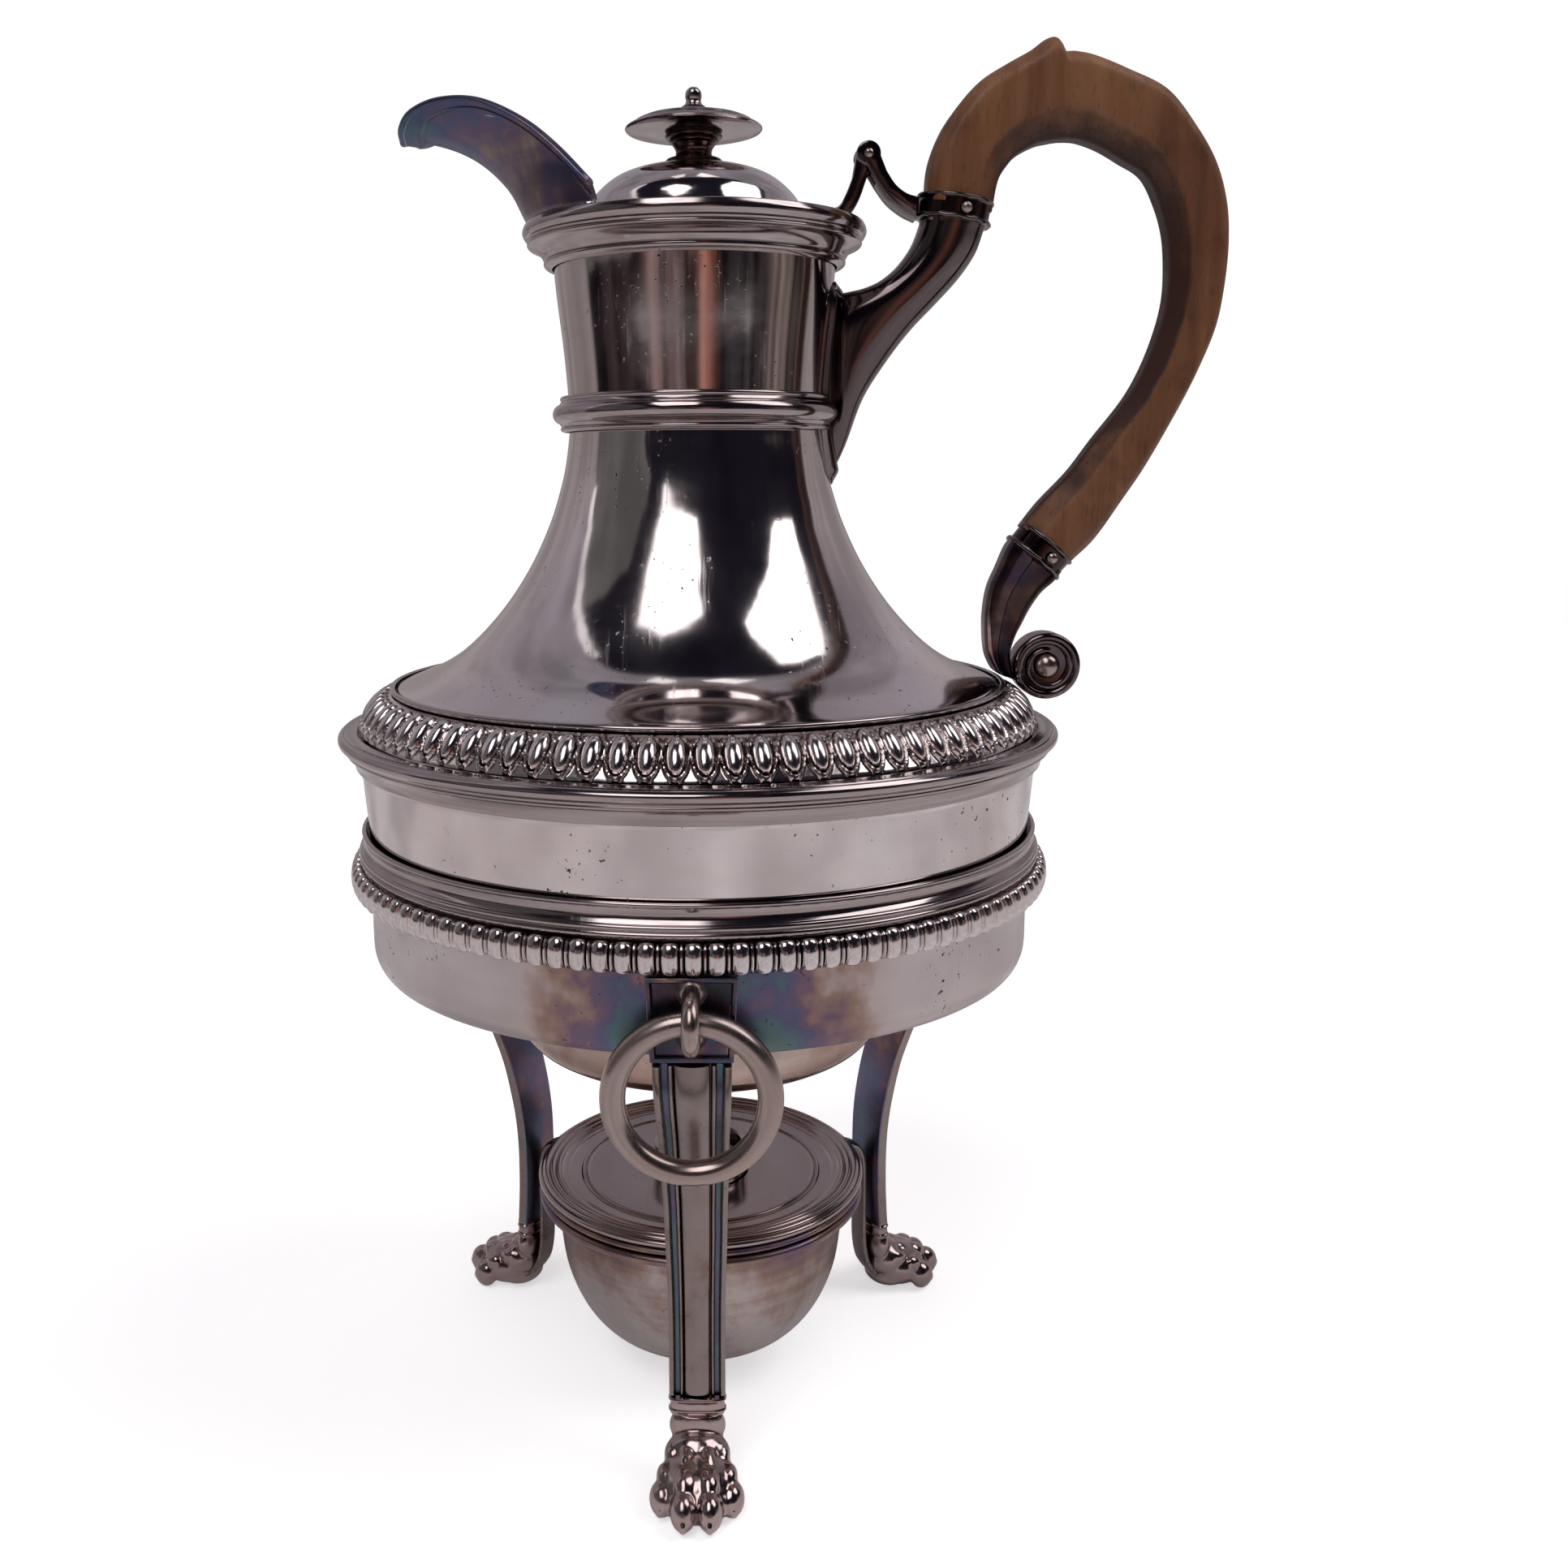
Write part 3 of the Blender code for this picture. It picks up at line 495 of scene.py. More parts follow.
def fruitwood():
    """Worn varnish on straight-grained fruitwood, with random grime, and painted shade on the inner side of
    the grip's bow.
    """
    made = bpy.data.materials.new("worn_fruitwood")
    made.use_nodes = True
    tree = made.node_tree
    shader = tree.nodes["Principled BSDF"]
    here = add(tree, "TexCoord").outputs["Object"]
    along = stretched(tree, here, (260.0, 260.0, 16.0), (0, 14, 0))
    grain = noise(tree, along, 1.0, 5.0, 0.6, 0.5)
    broad = noise(tree, stretched(tree, here, (60.0, 60.0, 9.0), (0, 14, 0)), 1.0, 3.0, 0.5, 0.8)
    fine = stretched(tree, here, (2100.0, 2100.0, 240.0), (0, 14, 0))
    pores = ranged(tree, noise(tree, fine, 1.0, 1.0), 0.62, 0.72)
    figure = maths(tree, "ADD", maths(tree, "MULTIPLY", grain, 0.45), maths(tree, "MULTIPLY", broad, 0.55))
    wood = ramp(tree, figure, [
        (0.28, (0.110, 0.040, 0.016)), (0.44, (0.180, 0.072, 0.030)),
        (0.58, (0.240, 0.105, 0.047)), (0.76, (0.31, 0.155, 0.075)),
    ])
    wood = mixed(tree, maths(tree, "MULTIPLY", pores, 0.35), wood, (0.07, 0.03, 0.015))
    grime = ranged(tree, noise(tree, here, 75.0, 4.0, 0.6), 0.52, 0.72)
    # Painted shade: the wood is darkened on the grip's inner side, where its faces turn in towards the
    # middle of the bow. The grime mixed in with it is random dirt.
    inner_side_shade = maths(tree, "MULTIPLY", painted_grip_shade(tree, here), 0.9)
    shade = maths(tree, "MAXIMUM", maths(tree, "MULTIPLY", grime, 0.35), inner_side_shade)
    wood = mixed(tree, shade, wood, (0.026, 0.008, 0.006))
    tree.links.new(wood, shader.inputs["Base Color"])
    gloss = ranged(tree, noise(tree, here, 120.0, 3.0), 0.3, 0.7, 0.42, 0.58)
    tree.links.new(maths(tree, "MULTIPLY_ADD", pores, 0.2, gloss), shader.inputs["Roughness"])
    shader.inputs["Specular IOR Level"].default_value = 0.45
    height = maths(tree, "MULTIPLY_ADD", pores, -0.00004, maths(tree, "MULTIPLY", grain, 0.00005))
    bump = add(tree, "Bump", {"Height": height, "Strength": 1.0, "Distance": 1.0})
    tree.links.new(bump.outputs["Normal"], shader.inputs["Normal"])
    return made


def painted_grip_shade(tree, here):
    """1 on the inner side of the grip's bow, on faces turned in towards its middle: the mask of painted
    shade that darkens the wood there.
    """
    facing = add(tree, "NewGeometry").outputs["Normal"]
    inward = add(tree, "VectorMath", {0: (0.076 + AXIS.x, AXIS.y, 0.250)}, operation="SUBTRACT")
    tree.links.new(here, inward.inputs[1])
    unit = add(tree, "VectorMath", {0: inward.outputs[0]}, operation="NORMALIZE").outputs[0]
    turned_in = add(tree, "VectorMath", {0: unit, 1: facing}, operation="DOT_PRODUCT").outputs["Value"]
    uneven = maths(tree, "MULTIPLY", maths(tree, "SUBTRACT", noise(tree, here, 140.0, 4.0), 0.5), 0.6)
    return ranged(tree, maths(tree, "ADD", turned_in, uneven), 0.12, 0.55)


def cotton():
    """The wick's twisted cotton."""
    made = bpy.data.materials.new("twisted_cotton")
    made.use_nodes = True
    tree = made.node_tree
    shader = tree.nodes["Principled BSDF"]
    here = add(tree, "TexCoord").outputs["Object"]
    strands = noise(tree, stretched(tree, here, (900.0, 900.0, 300.0), (25, 25, 0)), 1.0, 3.0)
    colour = ramp(tree, strands, [(0.3, (0.30, 0.26, 0.20)), (0.7, (0.72, 0.68, 0.58))])
    tree.links.new(colour, shader.inputs["Base Color"])
    shader.inputs["Roughness"].default_value = 0.95
    height = maths(tree, "MULTIPLY", strands, 0.0002)
    bump = add(tree, "Bump", {"Height": height, "Strength": 1.0, "Distance": 1.0})
    tree.links.new(bump.outputs["Normal"], shader.inputs["Normal"])
    return made


CLEAN = (0.75, 0.705, 0.71)
DEEP = (0.16, 0.135, 0.14)
# The raised body's film thickens from 124 mm down to 112 mm. This is painted shade: it darkens the lower
# body and the well as the shadowed table mirrored there would.
RAISED = silver(
    "raised_silver",
    {"Clean": CLEAN, "Bloom": 0.10, "Spread": 0.17, "Patch Size": 26.0, "Recess Dirt": 0.35},
    {"Base Roughness": 0.06, "Satin": 0.06, "Scratches": 0.9, "Waves": 1.0, "Pits": 1.0},
    higher_up(0.24, 124.0, 112.0),
)
CAST = silver(
    "cast_ornament_silver",
    {"Clean": CLEAN, "Bloom": 0.08, "Spread": 0.12, "Patch Size": 60.0, "Recess Dirt": 1.0},
    {"Base Roughness": 0.12, "Satin": 0.08, "Scratches": 0.4, "Waves": 0.3, "Pits": 0.0},
)
MOULDED = silver(
    "drawn_moulding_silver",
    {"Clean": (0.46, 0.415, 0.42), "Bloom": 0.12, "Spread": 0.12, "Patch Size": 45.0, "Recess Dirt": 0.7},
    {"Base Roughness": 0.09, "Satin": 0.08, "Scratches": 0.6, "Waves": 0.4, "Pits": 0.0},
)
BEAK = silver(
    "blued_beak_silver",
    {"Clean": (0.40, 0.42, 0.46), "Bloom": 0.44, "Spread": 0.34, "Patch Size": 34.0, "Recess Dirt": 0.6},
    {"Base Roughness": 0.20, "Satin": 0.10, "Scratches": 0.7, "Waves": 0.5, "Pits": 0.3},
    higher_up(0.22, 274.0, 290.0),
)
FITTING = silver(
    "dark_fitting_silver",
    {"Clean": DEEP, "Bloom": 0.14, "Spread": 0.16, "Patch Size": 70.0, "Recess Dirt": 0.8},
    {"Base Roughness": 0.09, "Satin": 0.07, "Scratches": 0.5, "Waves": 0.6, "Pits": 0.0},
)
APRON = silver(
    "apron_silver",
    {"Clean": (0.60, 0.55, 0.555), "Bloom": 0.04, "Spread": 0.12, "Patch Size": 40.0, "Recess Dirt": 0.4},
    {"Base Roughness": 0.17, "Satin": 0.12, "Scratches": 1.0, "Waves": 0.6, "Pits": 1.0},
    beside_legs(1.25, -0.25, 0.97),
)
LEG = silver(
    "leg_silver",
    {"Clean": (0.31, 0.27, 0.26), "Bloom": 0.16, "Spread": 0.30, "Patch Size": 60.0, "Recess Dirt": 0.9},
    {"Base Roughness": 0.20, "Satin": 0.14, "Scratches": 0.6, "Waves": 0.4, "Pits": 0.5},
)
LEG_INNER = silver(
    "leg_inner_silver",
    {"Clean": (0.78, 0.73, 0.72), "Bloom": 0.62, "Spread": 0.40, "Patch Size": 42.0, "Recess Dirt": 0.4},
    {"Base Roughness": 0.24, "Satin": 0.12, "Scratches": 0.6, "Waves": 0.4, "Pits": 0.3},
)
CHANNEL = silver(
    "leg_channel_silver",
    {"Clean": (0.54, 0.49, 0.49), "Bloom": 0.70, "Spread": 0.40, "Patch Size": 60.0, "Recess Dirt": 0.9},
    {"Base Roughness": 0.20, "Satin": 0.12, "Scratches": 0.4, "Waves": 0.3, "Pits": 0.0},
)
PAW = silver(
    "paw_silver",
    {"Clean": (0.50, 0.42, 0.42), "Bloom": 0.14, "Spread": 0.20, "Patch Size": 90.0, "Recess Dirt": 0.9},
    {"Base Roughness": 0.13, "Satin": 0.10, "Scratches": 0.3, "Waves": 0.2, "Pits": 0.0},
)
WORN = silver(
    "worn_ring_silver",
    {"Clean": (0.46, 0.39, 0.37), "Bloom": 0.12, "Spread": 0.14, "Patch Size": 80.0, "Recess Dirt": 0.5},
    {"Base Roughness": 0.20, "Satin": 0.14, "Scratches": 1.0, "Waves": 0.6, "Pits": 0.2},
)
BURNER = silver(
    "heated_burner_silver",
    {"Clean": (0.54, 0.50, 0.51), "Bloom": 0.22, "Spread": 0.36, "Patch Size": 30.0, "Recess Dirt": 0.5},
    {"Base Roughness": 0.20, "Satin": 0.16, "Scratches": 0.8, "Waves": 0.5, "Pits": 0.3},
    higher_up(0.22, 18.0, 44.0),
)
BURNER_TOP = silver(
    "burner_lid_silver",
    {"Clean": (0.46, 0.40, 0.40), "Bloom": 0.10, "Spread": 0.14, "Patch Size": 40.0, "Recess Dirt": 0.8},
    {"Base Roughness": 0.11, "Satin": 0.12, "Scratches": 1.0, "Waves": 0.4, "Pits": 0.3},
)
ARM = silver(
    "panelled_arm_silver",
    {"Clean": (0.19, 0.17, 0.175), "Bloom": 0.45, "Spread": 0.45, "Patch Size": 55.0, "Recess Dirt": 0.7},
    {"Base Roughness": 0.14, "Satin": 0.10, "Scratches": 0.5, "Waves": 0.4, "Pits": 0.0},
)
PLATE = silver(
    "head_plate_silver",
    {"Clean": (0.38, 0.34, 0.34), "Bloom": 0.55, "Spread": 0.50, "Patch Size": 95.0, "Recess Dirt": 0.7},
    {"Base Roughness": 0.15, "Satin": 0.12, "Scratches": 0.5, "Waves": 0.4, "Pits": 0.0},
)
STEM = silver(
    "browned_stem_silver",
    {"Clean": DEEP, "Bloom": 0.34, "Spread": 0.10, "Patch Size": 120.0, "Recess Dirt": 0.9},
    {"Base Roughness": 0.14, "Satin": 0.08, "Scratches": 0.3, "Waves": 0.2, "Pits": 0.0},
)
WOOD = fruitwood()
COTTON = cotton()


# The pot


def build_body():
    """The raised body, open at the neck and over the well, and the well under it."""
    bell = fluent([
        (30.3, 262.0), (30.2, 252.0), (28.5, 236.0), (27.6, 223.0), (27.9, 218.0), (28.8, 212.0),
        (30.2, 206.5), (32.6, 199.5), (36.9, 190.6), (42.8, 181.8), (50.2, 173.8), (57.2, 168.9),
        (66.8, 164.9),
    ])
    wall = fluent([(75.3, 149.0), (74.7, 141.0), (74.15, 134.0), (73.9, 124.6)], 5)
    below = fluent([(70.6, 123.3), (70.4, 113.0), (67.0, 105.0), (57.0, 99.5), (43.4, 96.9)])
    inside = fluent([(42.9, 98.1), (56.4, 100.7), (65.9, 106.0), (69.0, 113.4), (69.2, 125.0)])
    inner_wall = [(72.6, 126.0), (74.0, 149.0), (72.6, 155.2)]
    inner_bell = fluent([
        (65.6, 163.4), (56.6, 167.7), (49.3, 172.9), (41.8, 181.0), (35.8, 190.0), (31.5, 199.0),
        (29.0, 206.1), (26.6, 218.0), (26.4, 223.0), (27.3, 236.0), (29.0, 252.0), (29.1, 262.0),
    ])
    rounding = [(67.6, 162.2), (71.5, 159.3), (74.2, 155.6)]
    outline = joined(bell, rounding, wall, [(73.0, 123.4)], below, inside, inner_wall, inner_bell)
    body = ("pot_neck", "pot_bell", "pot_drum", "pot_base")
    turned("body_shell", softened(outline, 0.5), RAISED, *body, steps=288)
    outer_pan = fluent([
        (42.9, 96.4), (42.8, 88.5), (41.4, 84.3), (37.0, 80.9), (26.0, 78.6), (12.0, 78.1), (0.0, 78.0),
    ])
    inner_pan = fluent([
        (0.0, 79.2), (12.0, 79.3), (25.6, 79.8), (36.0, 81.9), (40.3, 85.0), (41.6, 88.8), (41.7, 96.4),
    ])
    grid = turned_grid(joined(outer_pan, inner_pan))
    closed("well_pan", grid, RAISED, "pot_well", wrap_rows=True, wrap_columns=True)


def build_rim_and_ring():
    """The moulded rim with its fascia, step, cavetto and bead, and the ring round the neck."""
    rim = joined(
        [(30.65, 262.8), (35.9, 262.8)],
        fluent([(36.3, 262.6), (36.8, 261.6), (36.85, 260.7), (36.4, 259.8)], 4),
        [(35.7, 259.6), (35.55, 259.1)], arc((35.5, 258.6), 0.45, 60, -60, 6),
        fluent([(35.2, 258.1), (34.2, 257.6), (33.1, 256.6), (32.5, 255.6)], 5),
        arc((31.75, 254.8), 0.75, 50, -70, 8), [(31.3, 253.8), (30.65, 253.7)],
    )
    turned("moulded_rim", softened(rim, 0.18), MOULDED, "rim_moulding", steps=288)
    ring = joined(
        [(28.05, 227.3), (28.9, 227.2)], arc((29.1, 226.6), 0.55, 80, -60, 6),
        arc((29.15, 223.4), 2.15, 70, -70, 14), arc((29.1, 220.25), 0.55, 60, -80, 6),
        [(28.9, 219.6), (28.35, 219.6)],
    )
    turned("neck_ring_bead", softened(ring, 0.1), MOULDED, "neck_ring", steps=240, span=(13.2, 346.8))


def egg_in_border(u, v):
    """An upright egg in a raised border that runs round its foot."""
    egg = 1.45 * dome(np.hypot(u / 0.33, (v - 0.49) / 0.42)) ** 0.85
    around = np.hypot(u / 0.475, (v - 0.44) / 0.54)
    border = 0.85 * np.exp(-(((around - 1.0) / 0.07) ** 2)) * step_up(0.05, 0.30, v)
    return np.maximum(egg, border) - 0.55


def lobe_and_reed(u, v):
    """A broad gadroon lobe with a thin reed beside it."""
    ends = dome(np.clip((abs(v - 0.5) - 0.34) / 0.16, 0, 1))
    lobe = 1.15 * dome(u / 0.37) ** 0.8 * ends
    reed = 0.75 * dome((0.5 - abs(u)) / 0.085) * ends
    return np.maximum(lobe, reed) - 0.85


def build_shoulder():
    """The egg band, its fillets and the turned-out flange under it."""
    face = fluent([(68.5, 164.2), (70.6, 163.0), (73.1, 160.5), (75.5, 157.0)], 14)
    back = [(75.2, 156.2), (74.4, 156.05), (72.0, 159.3), (69.5, 161.8), (68.1, 162.7)]
    relief_band("egg_ornament", face, back, EGG_UNITS, egg_in_border, CAST, "egg_band", columns_each=24)
    fillet = joined(arc((67.9, 164.75), 0.6, 150, -60, 10), [(67.7, 163.6)])
    turned("egg_fillet", fillet, MOULDED, steps=240, rides_with="egg_band")
    flange = joined(
        [(75.75, 156.0), (76.1, 156.1)], fluent([(76.7, 155.9), (77.6, 155.7), (78.4, 155.9)], 4),
        [(78.7, 155.6), (78.85, 155.75)],
        fluent([(79.3, 155.6), (79.95, 154.9), (79.95, 153.9), (79.3, 153.2)], 5),
        [(78.6, 153.0), (78.5, 152.6)], arc((78.0, 152.2), 0.5, 40, -80, 6),
        fluent([(77.6, 151.5), (77.0, 150.6), (76.6, 149.6), (76.5, 148.7)], 4), [(75.75, 148.4)],
    )
    turned("shoulder_rim", softened(flange, 0.12), MOULDED, "shoulder_flange", steps=288)


SPOUT_EDGE = [
    (-61.8, 0.0, 280.3), (-61.0, 5.6, 281.9), (-58.0, 10.2, 284.2), (-51.7, 14.2, 285.6),
    (-43.6, 17.6, 284.8), (-34.8, 21.8, 280.4), (-27.0, 26.2, 273.9), (-19.4, 30.2, 265.6),
]


def build_spout():
    """The open beak, with its coved band along the lip and the wire that edges it."""
    root_r, root_z, spread, thick, lip_r, cove = 35.2, 263.25, 58.0, 1.1, 0.85, 4.2
    half = fluent(SPOUT_EDGE, 8)
    edge = np.vstack([half[:0:-1] * (1, -1, 1), half])
    across = np.linspace(-1, 1, len(edge))
    edge, across = edge[1:-1], across[1:-1]
    angles = np.radians(spread * across)
    root = np.stack([-root_r * np.cos(angles), root_r * np.sin(angles), np.full_like(angles, root_z)], -1)
    along = np.concatenate([np.linspace(0, 0.72, 18), np.linspace(0.72, 1, 44)[1:]])
    rise = 4.6 * np.sin(math.pi * along)[None] * np.cos(math.pi / 2 * across)[:, None] ** 1.5
    wall = root[:, None] * (1 - along)[None, :, None] + edge[:, None] * along[None, :, None]
    wall[..., 2] += rise * 0.85
    wall[..., 0] += rise * 0.5
    du, dv = np.gradient(wall, axis=0), np.gradient(wall, axis=1)
    normal = np.cross(dv, du)
    normal /= np.linalg.norm(normal, axis=-1)[..., None]
    outward = np.sign((normal[..., 0] * wall[..., 0] + normal[..., 1] * wall[..., 1]).sum())
    normal *= outward
    reach = np.linalg.norm(edge - root, axis=1)[:, None] * (1 - along)[None]
    climb = np.linalg.norm(wall - root[:, None], axis=-1)
    inset = 1.05 * step_up(cove - 0.7, cove + 0.5, reach) * step_up(0.0, 9.0, climb)
    ledge = 0.20 * np.exp(-(((reach - cove + 0.9) / 0.5) ** 2))
    outer = wall + normal * (thick / 2 - inset + ledge)[..., None]
    inner = wall - normal * (thick / 2 + inset)[..., None]
    way = dv[:, -1] / np.linalg.norm(dv[:, -1], axis=-1)[:, None]
    turns = np.radians(np.linspace(-50, 230, 15))
    lip = [edge + lip_r * (np.cos(t) * normal[:, -1] + np.sin(t) * way) for t in turns]
    grid = np.concatenate([outer[:, :-1], np.stack(lip, 1), inner[:, -2::-1]], axis=1)
    bar("beak", grid, BEAK, "spout", "spout_lip")


# The handle and its sockets


def build_handle():
    """The wooden grip, flat-sided with its edges taken off, and its thumb spur."""
    sections = [
        ((49.4, 267.4), (63.6, 265.2), 6.6), ((50.0, 274.9), (64.7, 271.4), 6.9),
        ((52.5, 281.7), (66.6, 274.6), 6.8), ((56.3, 287.2), (68.5, 276.6), 6.7),
        ((60.6, 291.6), (70.6, 277.9), 6.6), ((66.1, 294.9), (73.2, 279.0), 6.6),
        ((70.6, 297.3), (75.3, 279.4), 6.5), ((73.6, 299.4), (76.3, 279.6), 6.5),
        ((75.7, 300.0), (77.1, 279.7), 6.5), ((77.0, 299.0), (77.9, 279.8), 6.5),
        ((77.9, 297.3), (78.6, 279.8), 6.5), ((80.2, 297.2), (79.6, 279.8), 6.5),
        ((84.2, 296.4), (82.0, 279.5), 6.5),
        ((91.0, 293.8), (86.2, 278.0), 6.5), ((99.8, 289.6), (90.9, 275.4), 6.5),
        ((106.2, 282.3), (96.0, 272.2), 6.5), ((110.9, 274.9), (99.3, 266.2), 6.5),
        ((113.6, 266.6), (101.2, 260.2), 6.5), ((114.4, 258.3), (101.9, 253.6), 6.5),
        ((114.0, 249.8), (101.8, 246.9), 6.5), ((112.7, 241.3), (100.3, 240.0), 6.4),
        ((109.6, 232.8), (97.6, 232.6), 6.3), ((105.6, 224.2), (93.9, 225.8), 6.2),
        ((99.0, 211.9), (87.4, 217.4), 6.1), ((93.9, 204.0), (82.4, 210.6), 6.1),
        ((88.4, 195.9), (76.0, 203.8), 6.2), ((83.4, 190.9), (72.0, 198.6), 6.1),
    ]
    corners = [(1, 0.45), (0.72, 0.98), (0.2, 1.0), (-0.36, 0.96), (-1, 0.42)]
    corners += [(u, -v) for u, v in corners[::-1]]
    outline = softened(corners, 0.16, count=5)
    grid = between_edges(sections, outline)
    bar("grip", grid, WOOD, "wood_handle")


def ferrule_collar(name, where, node):
    """A collar with a bead at each end and scallops round its lower edge."""
    x, z, tilt, outer = where
    inner = outer - 0.9
    outline = joined(
        [(inner, 2.7)], arc((outer - 0.1, 2.25), 0.42, 100, -60, 7),
        [(outer - 0.25, 1.6), (outer - 0.35, -1.2)],
        arc((outer - 0.1, -1.9), 0.5, 70, -90, 7), [(inner, -2.4)],
    )
    grid = turned_grid(outline, 144)
    turns = np.radians(np.linspace(0, 360, 144, endpoint=False))[:, None]
    lobes = 0.22 * abs(np.sin(turns * 6)) * (outline[:, 1] < -1.0)
    grid[..., 2] -= lobes
    squash = (1.0, 0.93, 1.0)
    lean = Euler((0, math.radians(tilt), 0)).to_matrix()
    grid = (grid * squash) @ np.array(lean).T + (x, 0, z)
    closed(name, grid, FITTING, node, wrap_rows=True, wrap_columns=True)


def pin_with_heads(name, where, reach, radius, node):
    """A pin across the handle with a small domed head at each end."""
    dome_side = [(0.5, reach - 0.05), (radius + 0.25, reach - 0.4), (radius + 0.4, reach - 0.9)]
    head = joined([(0, reach)], fluent(dome_side, 4), [(radius, reach - 1.0)])
    grid = turned_grid(np.vstack([head, (head * (1, -1))[::-1]]), 32)
    x, z = where
    grid = laid_across(grid, x, z)
    closed(name, grid, WORN, node, wrap_rows=True)


def build_sockets():
    """The horn-shaped upper socket with its plate on the neck, both ferrules and their pins."""
    sections = [
        ((48.5, 264.0), (62.6, 262.6), 6.8), ((48.3, 262.6), (62.1, 261.3), 6.7),
        ((46.6, 258.3), (60.4, 256.6), 6.4),
        ((43.6, 254.2), (57.0, 251.6), 6.2), ((40.2, 251.4), (52.4, 246.6), 6.0),
        ((36.9, 249.9), (46.6, 240.6), 5.8), ((33.9, 249.2), (41.2, 233.6), 5.5),
        ((31.7, 248.8), (36.6, 226.2), 5.1), ((30.5, 248.7), (33.2, 217.0), 4.5),
        ((30.3, 248.6), (31.2, 212.6), 3.6), ((29.9, 248.3), (29.4, 209.6), 3.0),
    ]
    outline = oval(2.35, 56)
    grid = between_edges(sections, outline, 8)
    bar("socket_horn", grid, FITTING, "upper_socket")
    stations = fluent([
        (251.0, 0.4), (250.6, 4.6), (248.0, 6.3), (240.0, 6.5), (228.0, 6.1), (218.0, 4.9),
        (212.0, 3.8), (208.8, 2.6), (208.0, 0.4),
    ])
    rows = []
    for z, half in stations:
        side = np.linspace(-1, 1, 15)
        bulge = 0.3 + 2.3 * dome(side * 0.97) ** 0.7 * step_up(207.6, 211.5, z) * step_up(251.5, 248.0, z)
        neck = np.interp(z, [206.5, 212, 218, 223, 236, 252], [30.2, 28.8, 27.9, 27.6, 28.5, 30.2])
        angle = side * half / (neck + 1)
        r = neck + bulge
        front = np.column_stack([r * np.cos(angle), r * np.sin(angle), np.full(15, z)])
        rear = np.column_stack([(neck + 0.1) * np.cos(angle), (neck + 0.1) * np.sin(angle), np.full(15, z)])
        rows.append(np.vstack([front, rear[::-1]]))
    bar("socket_plate", np.array(rows), FITTING, rides_with="upper_socket")
    ferrule_collar("upper_collar", TOP_FERRULE, "upper_ferrule")
    ferrule_collar("lower_collar", LOW_FERRULE, "lower_ferrule")
    pin_with_heads("upper_pin_heads", TOP_PIN, 8.6, 0.8, "upper_pin")
    pin_with_heads("lower_pin_heads", LOW_PIN, 7.8, 0.8, "lower_pin")


def build_lower_arm():
    """The lower arm, with a thick rounded back and a sunk panel, and the scroll at its foot."""
    sections = [
        ((70.6, 196.3), (81.0, 188.6), 4.7),
        ((69.0, 194.0), (79.3, 186.4), 4.6), ((67.2, 189.7), (76.7, 184.0), 4.3),
        ((65.3, 185.0), (74.4, 180.6), 4.1), ((64.5, 179.4), (72.8, 177.4), 4.0),
        ((64.6, 174.1), (71.2, 174.0), 4.0), ((65.2, 170.0), (70.3, 170.3), 4.0),
        ((66.6, 167.0), (70.8, 166.4), 4.3), ((67.6, 165.9), (71.6, 164.3), 4.6),
    ]
    side = joined(
        [(1.0, 0.0), (1, 0.5)], fluent([(0.9, 0.85), (0.55, 1.04), (0.2, 0.95)], 4),
        [(0.08, 0.90), (0.02, 0.72), (-0.80, 0.70), (-0.86, 0.84), (-1, 0.80)],
    )
    outline = softened(np.vstack([side, (side * (1, -1))[::-1][:-1]]), 0.06, count=3)
    grid = between_edges(sections, outline)
    bar("lower_branch", grid, ARM, "lower_arm")
    x, z = VOLUTE
    rim, waist = VOLUTE_R - 0.2, VOLUTE_R - 2.0
    outline = joined(
        [(0, 2.4), (waist, 2.5)], arc((rim - 1.0, 2.9), 1.0, 170, 20, 8), [(rim, 2.4), (rim, -2.4)],
        arc((rim - 1.0, -2.9), 1.0, -20, -170, 8), [(waist, -2.5), (0, -2.4)],
    )
    grid = turned_grid(softened(outline, 0.3, closed=False), 96)
    grid = laid_across(grid, x, z)
    closed("scroll_drum", grid, FITTING, "scroll_volute", wrap_rows=True)
    turns = np.linspace(math.radians(200), math.radians(200 - 480), 110)
    radius = np.linspace(rim - 1.2, 3.5, 110)
    path = np.column_stack([x + radius * np.cos(turns), z + radius * np.sin(turns)])
    ball = joined(arc((0, 2.2), 3.0, 90, 0, 12), [(3.0, 0.0), (0, 0)])
    for side_name, way in (("front", -1.0), ("back", 1.0)):
        curl = wire(path, np.linspace(1.0, 0.55, 110), 14)
        curl[..., 1] += way * 3.0
        bar("scroll_curl_" + side_name, curl, FITTING, rides_with="scroll_volute")
        boss = turned_grid(ball, 48)
        boss = laid_across(boss, x, z, way)
        closed("scroll_boss_" + side_name, boss, WORN, rides_with="scroll_volute", wrap_rows=True)


# The lid


def flat_bar(name, outline, low, high, finish, *nodes, rides_with=None, softness=0.45):
    """A bar cut to an outline in the XZ plane, from y low to y high, with its edges rounded."""
    outline = softened(outline, 0.8, sharp=25.0)
    centre = outline.mean(axis=0)
    way = np.roll(outline, -1, axis=0) - np.roll(outline, 1, axis=0)
    normal = np.column_stack([way[:, 1], -way[:, 0]]) / np.linalg.norm(way, axis=1)[:, None]
    normal *= math.copysign(1.0, ((outline - centre) * normal).sum())
    soft, slight = softness, softness * 0.3
    rows = []
    near = [(low, soft), (low + slight, slight), (low + soft, 0.0)]
    far = [(high - soft, 0.0), (high - slight, slight), (high, soft)]
    for y, shrink in near + far:
        ring = outline - normal * shrink
        rows.append(np.column_stack([ring[:, 0], np.full(len(ring), y), ring[:, 1]]))
    bar(name, np.array(rows), finish, *nodes, rides_with=rides_with)


